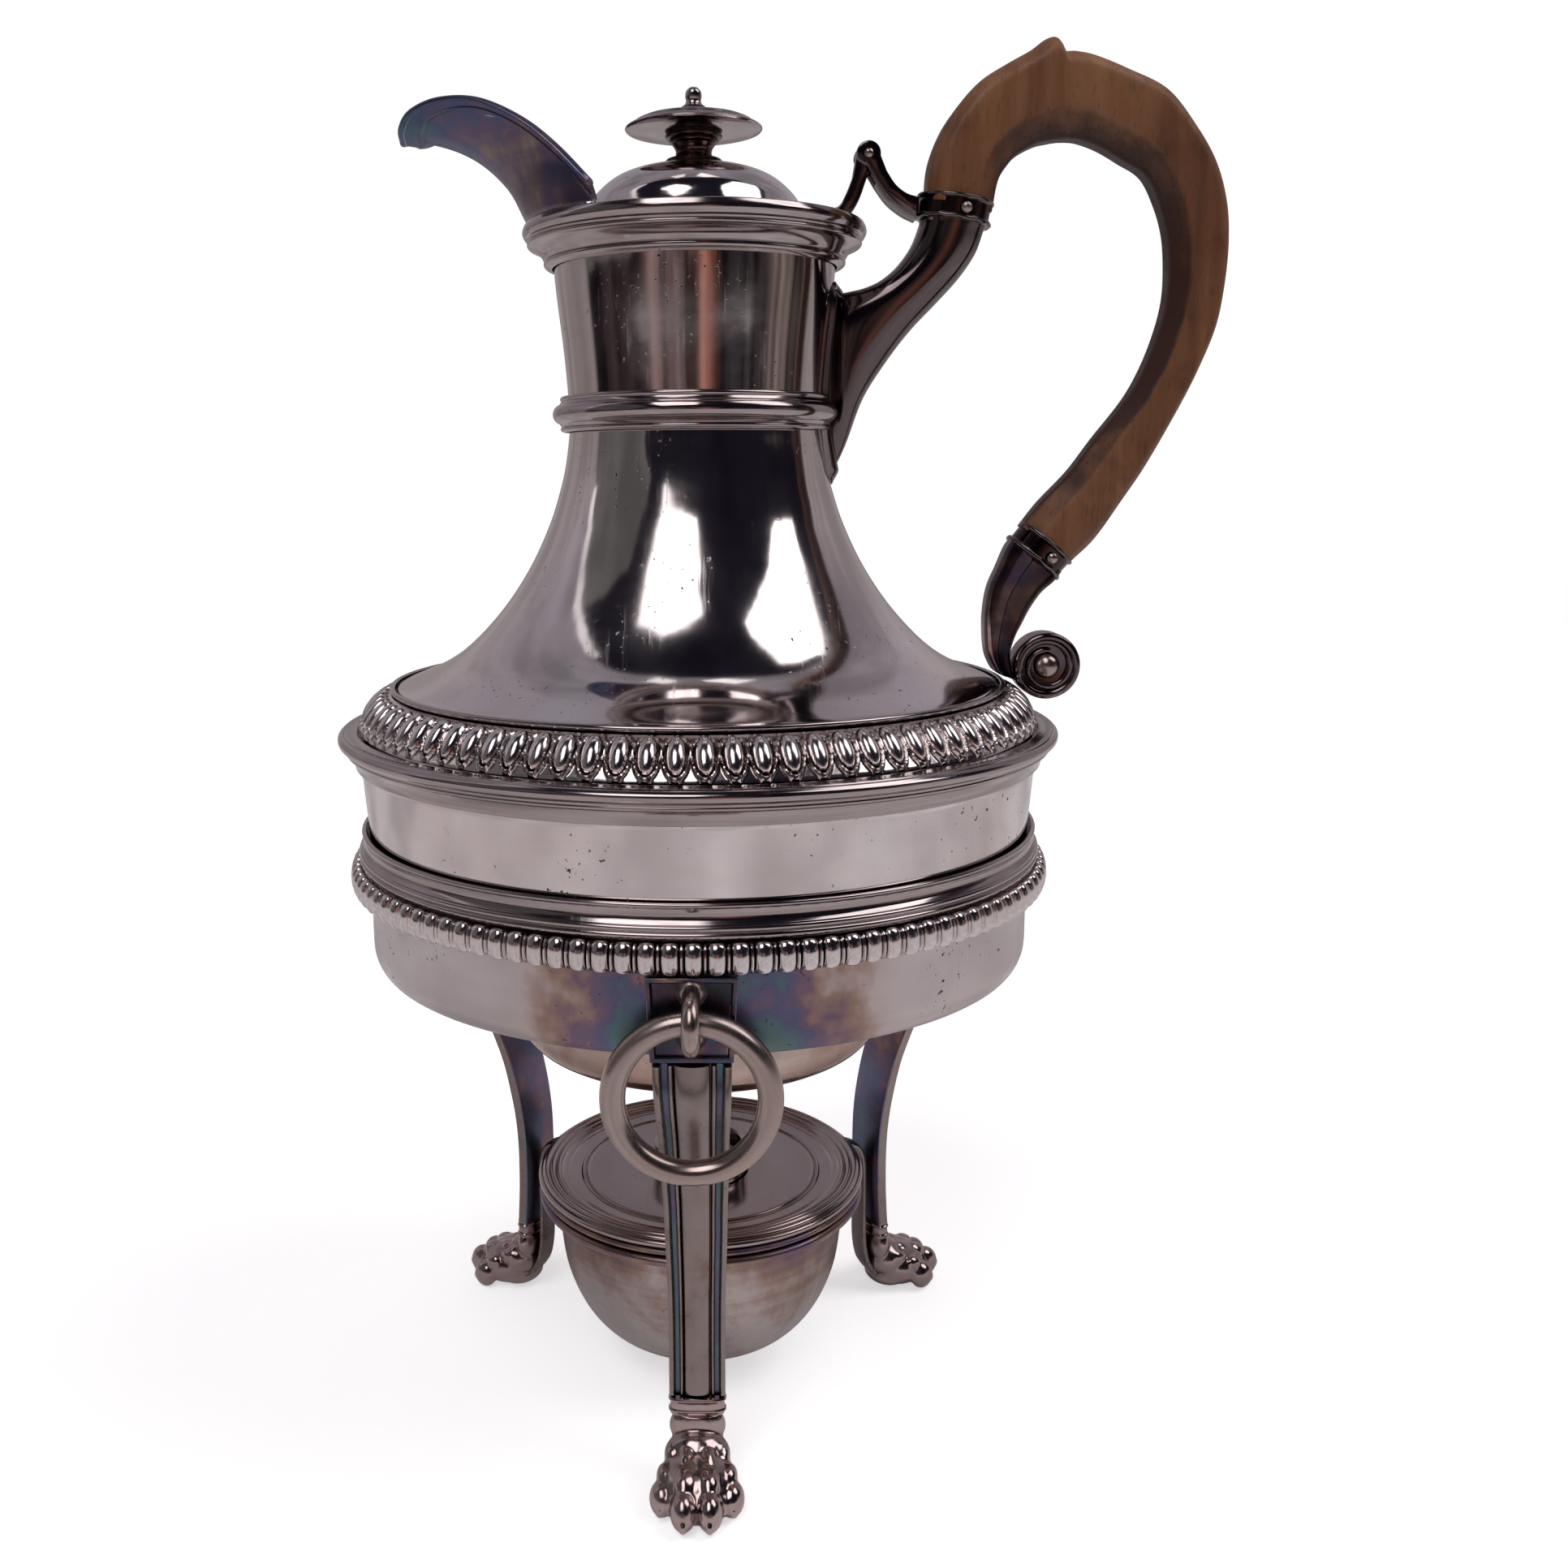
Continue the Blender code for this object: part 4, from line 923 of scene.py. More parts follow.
def build_hinge():
    """The stand-away hinge: the fork on the handle, the pin and the lid's leaf."""
    foot_low = fluent([(38.9, 270.8), (41.4, 267.6), (44.5, 265.2), (47.6, 263.7)], 5)
    foot_high = fluent([(47.9, 268.1), (45.2, 268.9), (42.8, 270.7), (40.9, 273.4)], 5)
    cheek = joined(arc(HINGE, 2.6, -10, 262, 22), foot_low, foot_high)
    flat_bar("hinge_fork_front", cheek, -3.65, -2.0, FITTING, "hinge_bracket")
    flat_bar("hinge_fork_back", cheek, 2.0, 3.65, FITTING, rides_with="hinge_bracket")
    middle = joined([(39.9, 272.4), (38.75, 271.2)], foot_low, foot_high[:-3])
    flat_bar("hinge_fork_middle", middle, -2.3, 2.3, FITTING, rides_with="hinge_bracket", softness=0.1)
    pin_with_heads("hinge_pin_heads", HINGE, 4.1, 0.7, "hinge_pin")
    leaf = joined(
        arc(HINGE, 2.55, -65, 195, 22),
        fluent([(33.9, 272.6), (32.5, 269.2), (30.6, 266.5), (26.2, 265.9)], 5), [(26.2, 263.9)],
        fluent([(31.2, 263.9), (33.4, 265.0), (35.2, 267.8), (36.8, 272.2)], 5),
    )
    flat_bar("lid_hinge_leaf", leaf, -1.85, 1.85, FITTING, "lid_leaf", softness=0.35)


def build_lid():
    """The domed lid with its seat, and the finial."""
    top = fluent([(0.0, 275.3), (6.0, 275.1), (12.0, 274.2), (17.2, 272.2), (21.2, 268.9), (23.4, 265.6)])
    under = fluent([(22.7, 264.2), (20.2, 268.0), (16.6, 271.1), (11.7, 273.0), (0.0, 274.1)])
    cover = joined(top, [(24.0, 264.6), (24.9, 264.2), (24.9, 263.6), (24.2, 262.9)], under)
    turned("lid_dome", softened(cover, 0.25, closed=False), RAISED, "lid")
    seat = softened([
        (24.9, 263.6), (30.2, 263.5), (30.2, 262.4), (28.7, 262.3), (28.6, 258.2), (27.6, 258.2),
        (27.5, 262.3), (24.4, 262.5),
    ], 0.2)
    turned("lid_seat", seat, RAISED, steps=180, span=(-147.0, 147.0), rides_with="lid")
    stem = joined(
        [(0.0, 281.5), (5.9, 281.5)], arc((5.7, 281.1), 0.45, 80, -60, 6), [(5.3, 280.5)],
        arc((4.9, 280.15), 0.4, 60, -70, 5),
        fluent([(4.7, 279.6), (4.0, 278.6), (3.85, 277.6), (4.3, 276.6)], 4),
        arc((5.6, 276.05), 0.45, 70, -50, 5),
        [(6.2, 275.65), (0.0, 275.65)],
    )
    turned("finial_waist", softened(stem, 0.15, closed=False), STEM, "finial_stem", steps=96)
    disc = joined(
        [(0.0, 286.8), (2.6, 286.7), (3.2, 286.1), (4.4, 285.9)], arc((6.1, 285.45), 0.4, 130, 30, 5),
        fluent([(7.2, 285.25), (9.2, 284.75), (10.4, 284.4)], 3), arc((11.1, 284.2), 0.42, 130, 20, 5),
        arc((12.3, 283.75), 0.38, 130, 20, 5),
        fluent([(12.9, 283.6), (14.1, 283.1), (14.65, 282.65), (14.4, 282.25)], 4),
        fluent([(13.4, 282.0), (10.0, 281.75), (7.0, 281.7), (0.0, 281.8)], 4),
    )
    turned("finial_mushroom", softened(disc, 0.1, closed=False), MOULDED, "finial_disc", steps=144)
    knob = fluent([
        (0.0, 291.2), (0.9, 290.95), (1.6, 290.2), (1.75, 289.2), (1.6, 288.3), (1.9, 287.6),
        (2.5, 287.15),
    ], 5)
    turned("finial_knob", joined(knob, [(2.5, 287.0), (0.0, 287.0)]), MOULDED, "finial_tip", steps=64)


# The stand


def build_stand_rings():
    """The ring that holds the pot, its gadroons and apron, and the ring for the burner."""
    moulding = joined(
        [(74.9, 134.1)], arc((75.35, 133.7), 0.5, 110, -50, 7),
        fluent([(75.5, 133.0), (75.15, 132.0), (75.3, 131.0), (75.9, 130.2)], 4),
        arc((75.9, 129.5), 0.65, 80, -70, 8), arc((75.9, 128.15), 0.7, 70, -80, 8),
        [(75.5, 127.45), (74.7, 127.45)],
    )
    turned("stand_top_moulding", softened(moulding, 0.12), MOULDED, "stand_moulding", steps=288)
    face = fluent([
        (76.3, 127.3), (77.5, 126.7), (78.1, 125.5), (78.3, 124.1), (78.2, 122.7), (77.7, 121.6),
        (76.9, 120.9),
    ])
    back = [(75.4, 121.0), (74.8, 121.2), (74.8, 127.0)]
    node = "gadroon_band"
    relief_band("gadroon_ornament", face, back, GADROON_UNITS, lobe_and_reed, CAST, node, columns_each=20)
    apron_face = fluent([
        (74.3, 114.0), (74.3, 108.4), (73.9, 106.0), (72.9, 104.3), (71.7, 104.0), (70.95, 104.5),
    ], 5)
    apron_back = fluent([(71.6, 105.6), (72.6, 107.8), (73.0, 114.0), (73.0, 120.6)], 4)
    apron = joined([(73.9, 120.6), (74.3, 120.5)], apron_face, apron_back)
    turned("stand_apron", softened(apron, 0.2), APRON, "apron", steps=288)
    rest = [(72.6, 122.9), (72.6, 121.4), (71.0, 121.4), (71.0, 122.9)]
    turned("rest_ledge", softened(rest, 0.3), MOULDED, "pot_rest")
    holder = joined(arc((37.5, 41.9), 1.15, 80, -80, 10), [(34.8, 40.7), (34.8, 43.1)])
    turned("lamp_holder_ring", softened(holder, 0.2), BURNER, "lamp_ring")


def leg_face(u):
    """How far the front of the shaft stands out at u, from -1 to 1 across it."""
    a = abs(u)
    rib = (0.55 + 0.95 * dome(a / 0.45)) * (a < 0.45)
    reed = (0.45 + 0.55 * dome((a - 0.555) / 0.06)) * (abs(a - 0.555) < 0.06)
    margin = 0.2 + 1.2 * step_up(0.78, 0.84, a) * dome(np.clip((a - 0.88) / 0.16, 0, 1)) ** 0.6
    return np.maximum(np.maximum(rib, reed), margin)


def build_leg(side, azimuth):
    """One leg: framed head plate, fluted shaft, ankle collar, strap, eye and drop ring. The paws are made
    in build_paws.
    """
    path = fluent([
        (75.3, 103.7, 7.35), (73.6, 98.0, 7.3), (69.9, 91.5, 7.1), (65.0, 85.0, 6.9), (60.0, 78.0, 6.8),
        (56.4, 71.0, 6.7), (53.5, 64.0, 6.5), (51.5, 56.5, 6.4), (50.2, 49.0, 6.2), (49.7, 41.0, 6.0),
        (49.8, 31.0, 5.9), (50.3, 22.5, 5.9), (50.55, 19.9, 5.9),
    ])
    u = np.linspace(-1, 1, 81)
    front = np.column_stack([u, leg_face(u)])
    back = np.array([(1.0, -0.9), (0.96, -1.2), (0.85, -1.3), (-0.85, -1.3), (-0.96, -1.2), (-1.0, -0.9)])
    section = np.vstack([front, back])
    shaft = about_z(swept(path, lambda i: section * (path[i][2], 1.0)), azimuth)
    piece = bar("shaft_" + side, shaft, LEG, "leg_" + side)
    blue_faces(piece, azimuth, path)

    ankle = fluent([(50.75, 19.6), (50.8, 17.9), (50.9, 15.9)], 14)
    around = oval(3.2, 48)
    rings = np.ones(len(ankle))
    for bead in (19.1, 16.7):
        rings += 0.07 * np.exp(-(((ankle[:, 1] - bead) / 0.36) ** 2))
    collar = swept(ankle, lambda i: around * (5.7 * rings[i], 2.1 * rings[i]))
    bar("ankle_collar_" + side, about_z(collar, azimuth), PAW, rides_with="paw_" + side)

    strap_path = fluent([
        (39.0, 42.0), (42.2, 42.2), (44.8, 41.0), (46.4, 38.0), (46.9, 34.0), (47.0, 24.0),
        (47.1, 15.0), (48.1, 9.2), (49.9, 5.9), (51.9, 3.6),
    ])
    crown = softened([(-2.7, -0.7), (2.7, -0.7), (2.7, 0.4), (1.2, 0.8), (-1.2, 0.8), (-2.7, 0.4)], 0.35)
    strap = about_z(swept(strap_path, lambda i: crown), azimuth)
    bar("lamp_strap_" + side, strap, LEG, "strap_" + side)

    build_head_plate(side, azimuth)
    build_eye_and_ring(side, azimuth)


def blue_faces(piece, azimuth, path):
    """Gives the inner face of a shaft, and the channels beside its rib, their blue-green finish."""
    piece.data.materials.append(LEG_INNER)
    piece.data.materials.append(CHANNEL)
    way = Vector((math.cos(math.radians(azimuth)), math.sin(math.radians(azimuth)), 0))
    across = Vector((-way.y, way.x, 0))
    for face in piece.data.polygons:
        if len(face.vertices) != 4:
            continue
        if face.normal.dot(way) < -0.55:
            face.material_index = 1
            continue
        middle = (face.center - AXIS) / MM
        half = np.interp(middle.z, path[::-1, 1], path[::-1, 2])
        if 0.62 < abs(middle.dot(across)) / half < 0.80:
            face.material_index = 2


def build_head_plate(side, azimuth):
    """The framed plate over a leg, with its panel sunk inside the border."""
    shape = bmesh.new()
    corners = []
    for x in (74.75, 76.95):
        for z, half in ((104.3, 7.7), (120.55, 8.55)):
            corners += [(x, -half, z), (x, half, z)]
    points = about_z(np.array(corners), azimuth) * MM + np.array(AXIS)
    v = [shape.verts.new(p) for p in points]
    shape.verts.ensure_lookup_table()
    for ids in ((0, 1, 3, 2), (4, 6, 7, 5), (0, 4, 5, 1), (2, 3, 7, 6), (0, 2, 6, 4), (1, 5, 7, 3)):
        shape.faces.new([v[i] for i in ids])
    bmesh.ops.recalc_face_normals(shape, faces=shape.faces)
    out = Vector((math.cos(math.radians(azimuth)), math.sin(math.radians(azimuth)), 0))
    face = max(shape.faces, key=lambda f: f.normal.dot(out))
    bmesh.ops.inset_individual(shape, faces=[face], thickness=1.25 * MM, depth=0)
    bmesh.ops.inset_individual(shape, faces=[face], thickness=0.35 * MM, depth=-1.0 * MM)
    sharp = [e for e in shape.edges if e.is_manifold and e.calc_face_angle() > 0.3]
    bmesh.ops.bevel(shape, geom=sharp, offset=0.22 * MM, segments=3, affect="EDGES", profile=0.5)
    mesh = bpy.data.meshes.new("framed_plate_" + side)
    shape.to_mesh(mesh)
    shape.free()
    mesh.shade_smooth()
    mesh.set_sharp_from_angle(angle=math.radians(SHARP_ANGLE))
    place("framed_plate_" + side, mesh, PLATE, "head_plate_" + side)


def build_eye_and_ring(side, azimuth):
    """The hooked eye on its boss, and the ring that hangs in it."""
    path = fluent([
        (77.1, 117.6), (80.0, 117.6), (83.2, 117.0), (85.0, 115.3), (85.5, 113.3), (85.0, 111.4),
        (83.2, 109.7), (80.0, 109.1), (77.1, 109.1),
    ])
    hook = about_z(wire(path, 1.7, 28), azimuth)
    bar("hooked_eye_" + side, hook, WORN, "ring_eye_" + side)
    button = joined([(0, 1.3), (1.9, 1.2)], fluent([(2.2, 0.9), (2.6, 0.4), (2.9, 0.0)], 3), [(0, 0.0)])
    for label, z in (("upper", 117.6), ("lower", 109.1)):
        boss = turned_grid(button, 40)
        boss = np.stack([boss[..., 2] + 76.05, boss[..., 0], boss[..., 1] + z], -1)
        name = "eye_boss_" + label + "_" + side
        closed(name, about_z(boss, azimuth), WORN, rides_with="ring_eye_" + side, wrap_rows=True)
    turn = np.linspace(0, TAU, 160, endpoint=False)
    worn = RING_WIRE * (1.0 - 0.03 * np.cos(turn) ** 8)
    around = arc((0, 0), 1.0, 0, 360 * (1 - 1 / 28), 28)
    r = RING_R + worn[:, None] * around[:, 0]
    depth = RING_HANG_R + worn[:, None] * around[:, 1]
    height = RING_HANG_Z - RING_R + r * np.cos(turn)[:, None]
    grid = np.stack([depth, r * np.sin(turn)[:, None], height], -1)
    name, node = "hanging_ring_" + side, "drop_ring_" + side
    closed(name, about_z(grid, azimuth), WORN, node, wrap_rows=True, wrap_columns=True)


def lump(shape, centre, radii, lean=(0.0, 0.0, 0.0)):
    """An ellipsoid of a paw, with its centre and radii in millimetres and its lean in degrees."""
    turn = Euler([math.radians(a) for a in lean]).to_matrix().to_4x4()
    matrix = Matrix.Translation(Vector(centre)) @ turn @ Matrix.Diagonal((*radii, 1.0))
    bmesh.ops.create_uvsphere(shape, u_segments=28, v_segments=18, radius=1.0, matrix=matrix)


PAW_TOP_Z = 15.95


def paw_mesh():
    """A lion's paw: four toes with knuckles and claws, and locks of hair over the instep."""
    shape = bmesh.new()
    lump(shape, (51.4, 0, 13.0), (2.8, 6.0, 5.0))
    lump(shape, (53.8, 0, 8.4), (4.4, 6.8, 5.0), (0, 22, 0))
    lump(shape, (58.6, 0, 5.2), (8.0, 8.2, 5.7), (0, 8, 0))
    lump(shape, (62.2, 0, 3.6), (5.6, 7.6, 4.4))
    lump(shape, (56.0, 0, 3.0), (5.6, 6.4, 3.0))
    for y in (-1, 1):
        lump(shape, (58.6, 2.2 * y, 9.2), (3.6, 1.9, 2.1), (0, 32, 0))
        lump(shape, (63.2, 2.5 * y, 7.6), (3.1, 2.2, 2.2), (0, 34, 0))
        lump(shape, (66.3, 2.7 * y, 3.9), (3.6, 2.75, 4.0), (0, -14, 0))
        lump(shape, (69.0, 2.7 * y, 2.6), (1.7, 1.0, 1.6), (0, -35, 0))
        lump(shape, (55.8, 5.0 * y, 8.8), (3.2, 1.9, 2.1), (0, 34, -8 * y))
        lump(shape, (59.8, 6.3 * y, 6.8), (2.9, 2.1, 2.2), (0, 34, -12 * y))
        lump(shape, (62.0, 7.2 * y, 3.5), (3.3, 2.6, 3.6), (0, -10, -12 * y))
        lump(shape, (64.1, 7.6 * y, 2.3), (1.6, 1.0, 1.4), (0, -35, -12 * y))
        lump(shape, (55.8, 3.4 * y, 10.6), (2.2, 0.9, 1.0), (0, 48, 6 * y))
    lump(shape, (56.6, 0, 10.8), (2.8, 1.0, 1.2), (0, 44, 0))
    lump(shape, (60.6, 0, 8.6), (2.4, 1.0, 1.2), (0, 32, 0))
    mesh = bpy.data.meshes.new("paw_lumps")
    shape.to_mesh(mesh)
    shape.free()
    holder = bpy.data.objects.new("paw_lumps", mesh)
    bpy.context.scene.collection.objects.link(holder)
    remesh = holder.modifiers.new("fuse", "REMESH")
    remesh.mode, remesh.voxel_size = "VOXEL", 0.34
    smooth = holder.modifiers.new("ease", "SMOOTH")
    smooth.factor, smooth.iterations = 0.5, 5
    graph = bpy.context.evaluated_depsgraph_get()
    fused = bpy.data.meshes.new_from_object(holder.evaluated_get(graph))
    bpy.data.objects.remove(holder)
    points = np.array([v.co for v in fused.vertices])
    points[:, 2] = np.clip(points[:, 2], 0.0, PAW_TOP_Z)
    faces = [tuple(p.vertices) for p in fused.polygons]
    return points, faces


def build_paws():
    """A paw under each leg."""
    points, faces = paw_mesh()
    for side, azimuth in LEG_AZIMUTHS.items():
        mesh = bpy.data.meshes.new("lion_paw_" + side)
        mesh.from_pydata((about_z(points, azimuth) * MM + np.array(AXIS)).tolist(), [], faces)
        mesh.shade_smooth()
        place("lion_paw_" + side, mesh, PAW, "paw_" + side)


# The burner


def build_burner():
    """The burner's bowl, its reeded cover, and the tube with the wick in it."""
    outside = fluent([
        (34.25, 42.5), (33.9, 35.0), (32.3, 24.0), (28.0, 14.5), (21.5, 8.2), (12.0, 4.9), (0.0, 4.4),
    ])
    inside = fluent([
        (0.0, 5.6), (11.6, 6.1), (20.6, 9.2), (27.0, 15.2), (31.1, 24.4), (32.7, 35.2), (32.9, 44.6),
    ])
    lip = joined([(32.9, 45.0), (37.9, 45.0)], arc((37.95, 44.3), 0.62, 80, -80, 8), [(34.4, 43.4)])
    grid = turned_grid(joined(lip, outside, inside))
    closed("spirit_bowl", grid, BURNER, "burner_bowl", wrap_rows=True, wrap_columns=True)
    cover = joined(
        [(11.6, 44.8), (11.6, 45.9), (26.7, 46.2)], arc((27.1, 45.95), 0.3, 140, 40, 5),
        [(27.55, 45.75), (27.8, 45.75)], arc((28.2, 45.98), 0.32, 140, 40, 5),
        [(28.7, 46.05), (31.2, 46.35)], fluent([(32.0, 46.2), (32.8, 46.4), (33.4, 46.8)], 4),
        arc((34.1, 46.75), 0.62, 150, 20, 7), arc((35.5, 47.0), 0.68, 150, 20, 7),
        arc((37.0, 46.95), 0.82, 150, 10, 8),
        arc((38.05, 46.25), 0.78, 80, -80, 9), [(37.9, 45.4), (33.0, 45.35), (32.4, 44.8)],
    )
    turned("reeded_cover", softened(cover, 0.12), BURNER_TOP, "burner_lid", steps=240)
    tube = joined(
        [(9.9, 52.3)], arc((10.5, 52.0), 0.62, 150, -40, 8),
        fluent([(11.05, 51.2), (11.0, 48.0), (11.15, 46.6)], 4), [(11.1, 38.0), (9.9, 38.0)],
    )
    turned("wick_collar", softened(tube, 0.12), BURNER_TOP, "wick_tube", steps=96)
    wick_top = fluent([(0.0, 50.9), (4.0, 50.7), (7.5, 50.3), (8.9, 49.2), (9.3, 47.0)], 5)
    grid = turned_grid(joined(wick_top, [(9.3, 20.0), (0.0, 20.0)]), 120)
    twist = np.arctan2(grid[..., 1], grid[..., 0]) + grid[..., 2] * 0.35
    strands = 1 - 0.045 * (1 - abs(np.cos(twist * 8)))
    grid[..., :2] *= strands[..., None]
    closed("wick_strands", grid, COTTON, "wick", wrap_rows=True)


build_body()
build_rim_and_ring()
build_shoulder()
build_spout()
build_handle()
build_sockets()
build_lower_arm()
build_hinge()
build_lid()
build_stand_rings()
for side_name, side_azimuth in LEG_AZIMUTHS.items():
    build_leg(side_name, side_azimuth)
build_paws()
build_burner()


# Floor, light and camera


def build_floor():
    """A pale table top."""
    made = bpy.data.materials.new("pale_table")
    made.use_nodes = True
    tree = made.node_tree
    shader = tree.nodes["Principled BSDF"]
    here = add(tree, "TexCoord").outputs["Object"]
    seen = add(tree, "LightPath").outputs["Is Camera Ray"]
    tone = ramp(tree, noise(tree, here, 5.0, 2.0), [(0.36, (0.60, 0.57, 0.57)), (0.62, (0.86, 0.83, 0.82))])
    tree.links.new(mixed(tree, seen, tone, (0.87, 0.87, 0.87)), shader.inputs["Base Color"])
    shader.inputs["Roughness"].default_value = 0.85
    shader.inputs["Emission Color"].default_value = (1.0, 0.995, 1.0, 1.0)
    tree.links.new(maths(tree, "MULTIPLY_ADD", seen, 0.55, 0.03), shader.inputs["Emission Strength"])
    mesh = bpy.data.meshes.new("table_top")
    reach = 1.7
    corners = [(-reach, -reach, 0), (reach, -reach, 0), (reach, reach, 0), (-reach, reach, 0)]
    mesh.from_pydata(corners, [], [(0, 1, 2, 3)])
    mesh.materials.append(made)
    floor = bpy.data.objects.new("table_top", mesh)
    floor.location = (AXIS.x, AXIS.y, -0.0002)
    bpy.context.scene.collection.objects.link(floor)


def direction(azimuth, elevation):
    """A direction from the pot, where azimuth 0 is towards the front leg and 90 towards the handle."""
    a, e = math.radians(azimuth), math.radians(elevation)
    return Vector((math.sin(a) * math.cos(e), -math.cos(a) * math.cos(e), math.sin(e)))


def pane(tree, way, corners):
    """1 inside a straight-edged patch of the surroundings, from its corners' azimuth and elevation."""
    ends = [direction(*corner) for corner in corners]
    middle = sum(ends, Vector())
    inside = None
    for one, two in zip(ends, ends[1:] + ends[:1]):
        normal = one.cross(two).normalized()
        if normal.dot(middle) < 0:
            normal.negate()
        edge = add(tree, "VectorMath", {0: way, 1: tuple(normal)}, operation="DOT_PRODUCT").outputs["Value"]
        inside = edge if inside is None else maths(tree, "MINIMUM", inside, edge)
    return ranged(tree, inside, -0.004, 0.008)


PANES = [
    (0.13, [(-97, 2), (-52, 2), (-40, 25), (-60, 47), (-98, 45)]),
    (2.6, [(-31, 28), (1, 38), (6, 69), (-45, 73), (-65, 62), (-42, 48)]),
    (2.4, [(70, 32), (87, 28), (111, 53), (102, 68), (53, 67), (54, 55)]),
    (1.6, [(-150, 80), (-125, 78), (-140, 73), (-165, 75)]),
    (1.6, [(176, 81), (142, 79), (132, 72), (165, 74)]),
    (0.9, [(-101, 20), (-96, 20), (-97, 62), (-103, 62)]),
]


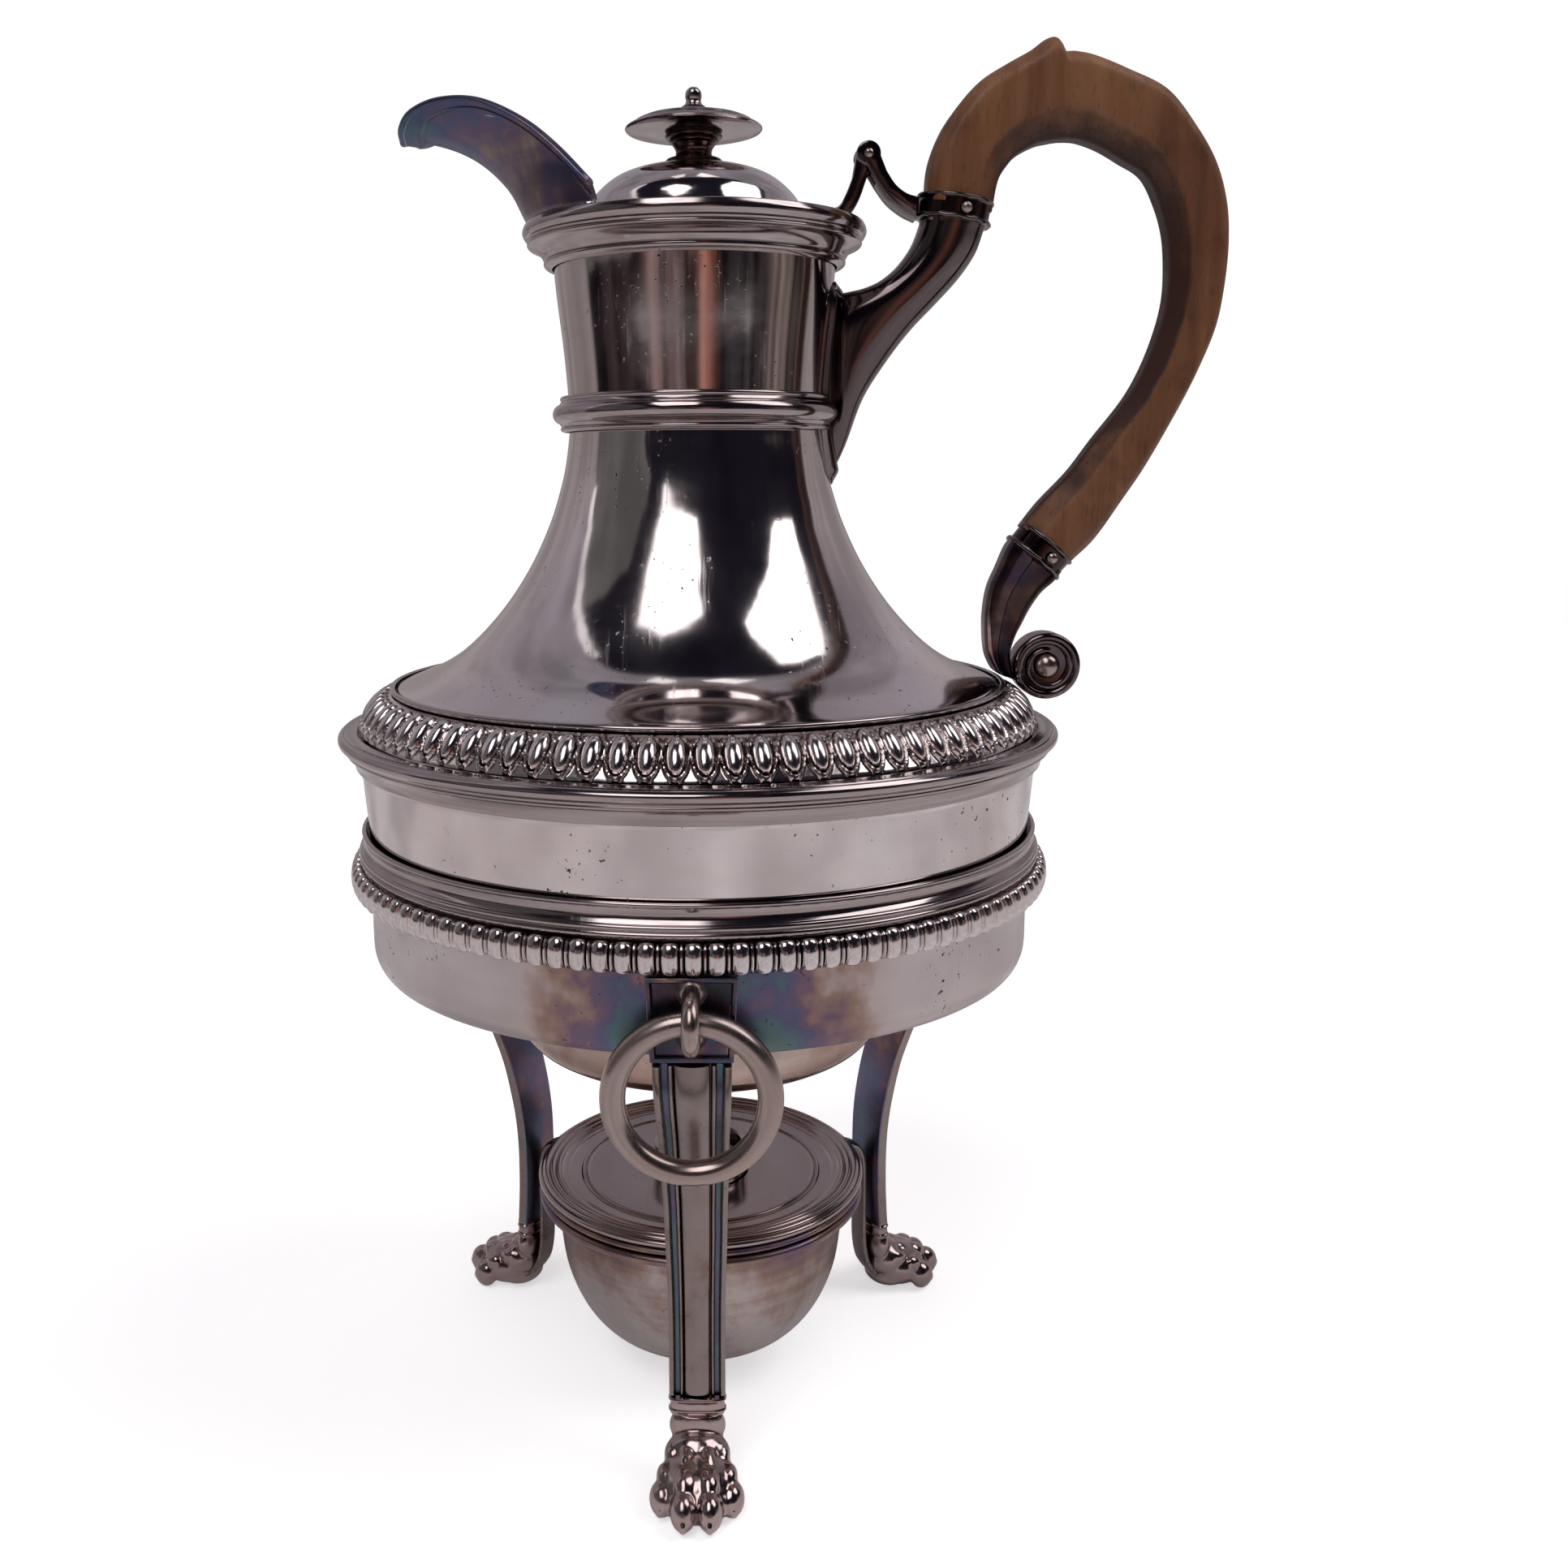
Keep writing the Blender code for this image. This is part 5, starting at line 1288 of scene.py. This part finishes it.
def build_world():
    """A studio with a pale sweep behind the pot, a dim room in front of it and bright panes above."""
    world = bpy.data.worlds.new("studio")
    bpy.context.scene.world = world
    world.use_nodes = True
    tree = world.node_tree
    sky = tree.nodes["Background"]
    true_way = add(tree, "TexCoord").outputs["Generated"]
    shake = add(tree, "TexNoise", {"Vector": true_way, "Scale": 5.0, "Detail": 4.0}).outputs["Color"]
    shaken = add(tree, "VectorMath", {0: shake, 1: (0.5, 0.5, 0.5)}, operation="SUBTRACT").outputs[0]
    bend = {0: shaken, 1: (0.10, 0.10, 0.10), 2: true_way}
    way = add(tree, "VectorMath", bend, operation="MULTIPLY_ADD").outputs[0]
    x, y, z = add(tree, "SeparateXYZ", {"Vector": way}).outputs
    azimuth = maths(tree, "ARCTAN2", x, maths(tree, "MULTIPLY", y, -1.0))
    edge = maths(tree, "MULTIPLY_ADD", maths(tree, "MAXIMUM", x, 0.0), -0.22, y)
    sweep = ranged(tree, edge, 0.09, 0.14)
    pale = ramp(tree, ranged(tree, z, -0.1, 0.9), [
        (0.0, (0.30, 0.265, 0.265)), (0.35, (0.37, 0.335, 0.35)), (0.7, (0.31, 0.285, 0.32)),
        (1.0, (0.26, 0.245, 0.27)),
    ])
    drape = noise(tree, stretched(tree, way, (2.0, 2.0, 0.6)), 2.0, 3.0)
    folds = ranged(tree, drape, 0.35, 0.65, 0.75, 1.15)
    side, up = maths(tree, "MULTIPLY", azimuth, 2.6), maths(tree, "MULTIPLY", z, 0.4)
    strips = add(tree, "CombineXYZ", {"X": side, "Y": 3.7, "Z": up})
    things = noise(tree, strips.outputs[0], 1.6, 5.0, 0.62)
    around = maths(tree, "MULTIPLY_ADD", azimuth, 1.0 / TAU, 0.5)
    shades = ramp(tree, around, [
        (0.0, (0.10, 0.09, 0.09)), (0.22, (0.012, 0.010, 0.014)), (0.375, (0.04, 0.025, 0.025)),
        (0.40, (0.22, 0.15, 0.145)), (0.47, (0.17, 0.13, 0.13)), (0.535, (0.26, 0.11, 0.08)),
        (0.565, (0.03, 0.03, 0.035)), (0.67, (0.05, 0.04, 0.04)),
        (0.69, (0.17, 0.14, 0.13)), (0.80, (0.14, 0.11, 0.10)), (0.86, (0.26, 0.23, 0.22)),
    ])
    streaks = ranged(tree, things, 0.38, 0.64, 0.15, 1.7)
    room = add(tree, "VectorMath", {0: shades, "Scale": streaks}, operation="SCALE").outputs[0]
    level = ranged(tree, maths(tree, "ABSOLUTE", z), 0.08, 0.24, 1.0, 0.0)
    dim = mixed(tree, level, (0.010, 0.009, 0.016), room)
    colour = mixed(tree, sweep, dim, pale)
    for radiance, corners in PANES:
        tint = tuple(radiance * part for part in (1.0, 0.97, 0.98))
        colour = mixed(tree, pane(tree, way, corners), colour, tint)
    seen = add(tree, "LightPath").outputs["Is Camera Ray"]
    tree.links.new(mixed(tree, seen, colour, (1.0, 1.0, 1.0)), sky.inputs["Color"])
    tree.links.new(maths(tree, "MAXIMUM", folds, seen), sky.inputs["Strength"])


LIGHTS_LOOK_AT, LIGHT_DISTANCE = Vector((0, 0, 0.18)), 1.3


def softbox(name, azimuth, elevation, size, radiance):
    """A rectangular light that looks at the pot and is not itself mirrored in the silver."""
    light = bpy.data.lights.new(name, "AREA")
    light.shape, light.size, light.size_y = "RECTANGLE", size[0], size[1]
    light.energy = radiance * math.pi * size[0] * size[1]
    holder = bpy.data.objects.new(name, light)
    holder.location = AXIS + LIGHTS_LOOK_AT + direction(azimuth, elevation) * LIGHT_DISTANCE
    holder.rotation_euler = direction(azimuth, elevation).to_track_quat("Z", "Y").to_euler()
    holder.visible_glossy = False
    bpy.context.scene.collection.objects.link(holder)


def build_lights():
    """A softbox to each side of the camera for the wood and the table."""
    softbox("left_softbox", -32.0, 54.0, (0.7, 0.9), 1.6)
    softbox("right_softbox", 84.0, 50.0, (0.7, 0.9), 1.6)


CAMERA_BACK, CAMERA_HEIGHT, CAMERA_TO_LEFT = 331.0, 210.2, 0.5
CAMERA_PITCH, CAMERA_ROLL = 10.28, -0.40
LENS, SENSOR, LENS_SHIFT = 33.73, 36.0, (0.0564, -0.0269)


def build_camera():
    """A camera a little above the middle of the pot, looking slightly down at the front leg."""
    data = bpy.data.cameras.new("view")
    data.lens, data.sensor_width = LENS, SENSOR
    data.shift_x, data.shift_y = LENS_SHIFT
    camera = bpy.data.objects.new("view", data)
    camera.location = (AXIS.x - CAMERA_TO_LEFT * MM, AXIS.y - CAMERA_BACK * MM, CAMERA_HEIGHT * MM)
    tilt = Euler((math.radians(90.0 - CAMERA_PITCH), 0.0, 0.0)).to_quaternion()
    roll = Euler((0.0, 0.0, math.radians(CAMERA_ROLL))).to_quaternion()
    camera.rotation_euler = (tilt @ roll).to_euler()
    bpy.context.scene.collection.objects.link(camera)
    bpy.context.scene.camera = camera


build_floor()
build_world()
build_lights()
build_camera()
bpy.context.scene.view_settings.view_transform = "Standard"
